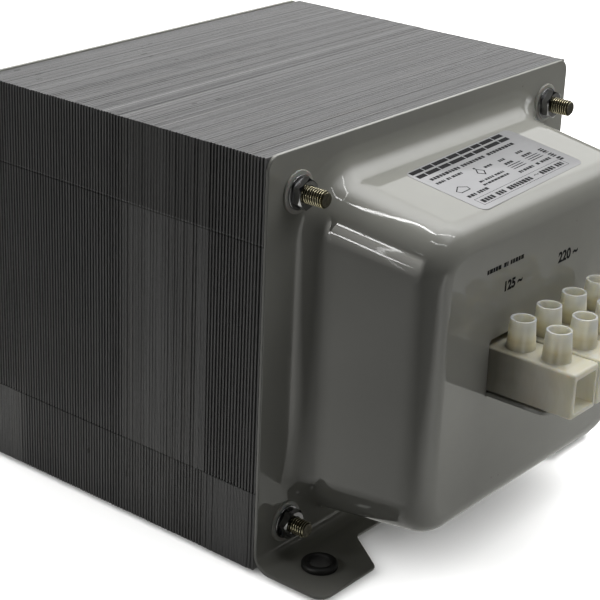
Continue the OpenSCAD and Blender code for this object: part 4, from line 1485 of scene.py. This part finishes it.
def card(name, mat, corners, glossy=True, diffuse=True):
    """Board or panel that lights the object and shows in its gloss, but isn't seen itself."""
    me = bpy.data.meshes.new(name)
    me.from_pydata([Vector(c) for c in corners], [], [tuple(range(len(corners)))])
    me.materials.append(mat)
    ob_ = bpy.data.objects.new(name, me)
    scene.collection.objects.link(ob_)
    ob_.visible_camera = False
    ob_.visible_shadow = False
    ob_.visible_glossy = glossy
    ob_.visible_diffuse = diffuse
    return ob_


# overhead panel whose brightness falls off softly to the left and to the front
card("key_panel", KEY_PANEL, [(-0.6, -1.3, 1.15), (-0.6, 3.0, 1.15), (3.2, 3.0, 1.15), (3.2, -1.3, 1.15)])


def strip_light(name, a, b, width, radiance):
    """Thin strip between two points, facing the object."""
    a, b = Vector(a), Vector(b)
    li = bpy.data.lights.new(name, "AREA")
    li.shape = "RECTANGLE"
    long_ = (b - a).length
    li.size, li.size_y = long_, width
    li.energy = radiance * math.pi * long_ * width
    ob_ = bpy.data.objects.new(name, li)
    mid = (a + b) / 2
    ex = (b - a).normalized()
    ez = (mid - P0)
    ez = (ez - ex * ez.dot(ex)).normalized()
    ey = ez.cross(ex)
    ob_.matrix_world = Matrix.Translation(mid) @ Matrix((ex, ey, ez)).transposed().to_4x4()
    scene.collection.objects.link(ob_)
    return ob_


# bright edges of the panel to the left, and lamp tubes overhead: these draw the fine lines on the glossy corner
TUBES = [
    ("left_edge_high", (-1.10, 0.3175, 0.762), (-1.10, 0.600, 0.800), 0.060, 14.0),
    ("left_edge_low", (-1.10, 0.3215, 0.345), (-1.10, 0.3490, 0.321), 0.090, 14.0),
    ("left_edge_front", (-1.10, 0.3205, 0.370), (-1.10, 0.3185, 0.750), 0.0042, 13.0),
    ("left_edge_foot", (-1.10, 0.316, 0.275), (-1.10, 0.316, 0.100), 0.003, 7.0),
    ("overhead_front", (0.020, -0.830, 1.00), (-0.277, -0.281, 1.00), 0.030, 7.0),
    ("overhead_left", (-0.277, -0.281, 1.00), (-0.267, 0.155, 1.00), 0.030, 11.0),
    ("overhead_bend", (-0.265, 0.238, 1.00), (-0.172, 0.219, 1.00), 0.016, 16.0),
    ("overhead_back", (-0.172, 0.219, 1.00), (-0.060, 0.2015, 1.00), 0.012, 17.0),
    ("overhead_rear", (-0.060, 0.2015, 1.00), (0.100, 0.1965, 1.00), 0.009, 18.0),
    ("overhead_turn", (0.100, 0.195, 1.00), (0.008, 0.174, 1.00), 0.009, 15.0),
    ("overhead_right", (0.008, 0.174, 1.00), (0.135, -0.207, 1.00), 0.030, 13.0),
    ("overhead_far", (0.135, -0.207, 1.00), (0.523, -0.654, 1.00), 0.030, 9.0),
    ("small_spot", (-0.960, 0.286, 1.00), (-0.985, 0.290, 1.00), 0.012, 14.0),
]
for tube in TUBES:
    strip_light(*tube).visible_diffuse = tube[0].startswith("left_edge")
card("left_panel", LEFT_PANEL, [(-1.13, -0.22, 0.0), (-1.13, 0.72, 0.0), (-1.13, 0.72, 0.95), (-1.13, -0.22, 0.95)], diffuse=False)
# a lamp of its own keeps the floor near white without lighting the object
floor_lamp = area_light("floor_light", (0.0, 0.0, 2.6), (0.0, 0.0, 0.0), 13.0, 13.0, 1794.0)
# small lamp for the translucent strip alone, in place of the light that its own body would pass on
strip_lamp = area_light("strip_light", (-0.95, -1.20, 0.42), (0.0, -0.115, 0.065), 0.5, 0.5, 3.0)
only_strip = bpy.data.collections.new("strip_only")
only_strip.objects.link(strip)
strip_lamp.light_linking.receiver_collection = only_strip
only_floor = bpy.data.collections.new("floor_only")
only_floor.objects.link(floor)
floor_lamp.light_linking.receiver_collection = only_floor
# what the floor gives the object: a pale board under and in front of it, dark cloth to its left
h_ = -0.0004
card("board_bounce", WHITE_CARD, [(-0.078, -0.45, h_), (0.9, -0.45, h_), (0.9, 5.9, h_), (-0.078, 5.9, h_)], glossy=False)
card("cloth_bounce", DARK_CARD, [(-5.9, -5.9, h_), (5.9, -5.9, h_), (5.9, -0.45, h_), (-0.078, -0.45, h_), (-0.078, 5.9, h_), (-5.9, 5.9, h_)], glossy=False)
card("floor_gloss", BOARD_GLOW, [(-5.9, -5.9, h_), (5.9, -5.9, h_), (5.9, 5.9, h_), (-5.9, 5.9, h_)], diffuse=False)

w_ = bpy.data.worlds.new("studio")
w_.use_nodes = True
bg = w_.node_tree.nodes["Background"]
bg.inputs[0].default_value = (0.95, 0.97, 1.0, 1.0)
bg.inputs[1].default_value = 0.013
scene.world = w_
scene.view_settings.view_transform = "Standard"
scene.view_settings.look = "None"
scene.view_settings.exposure = 0.0
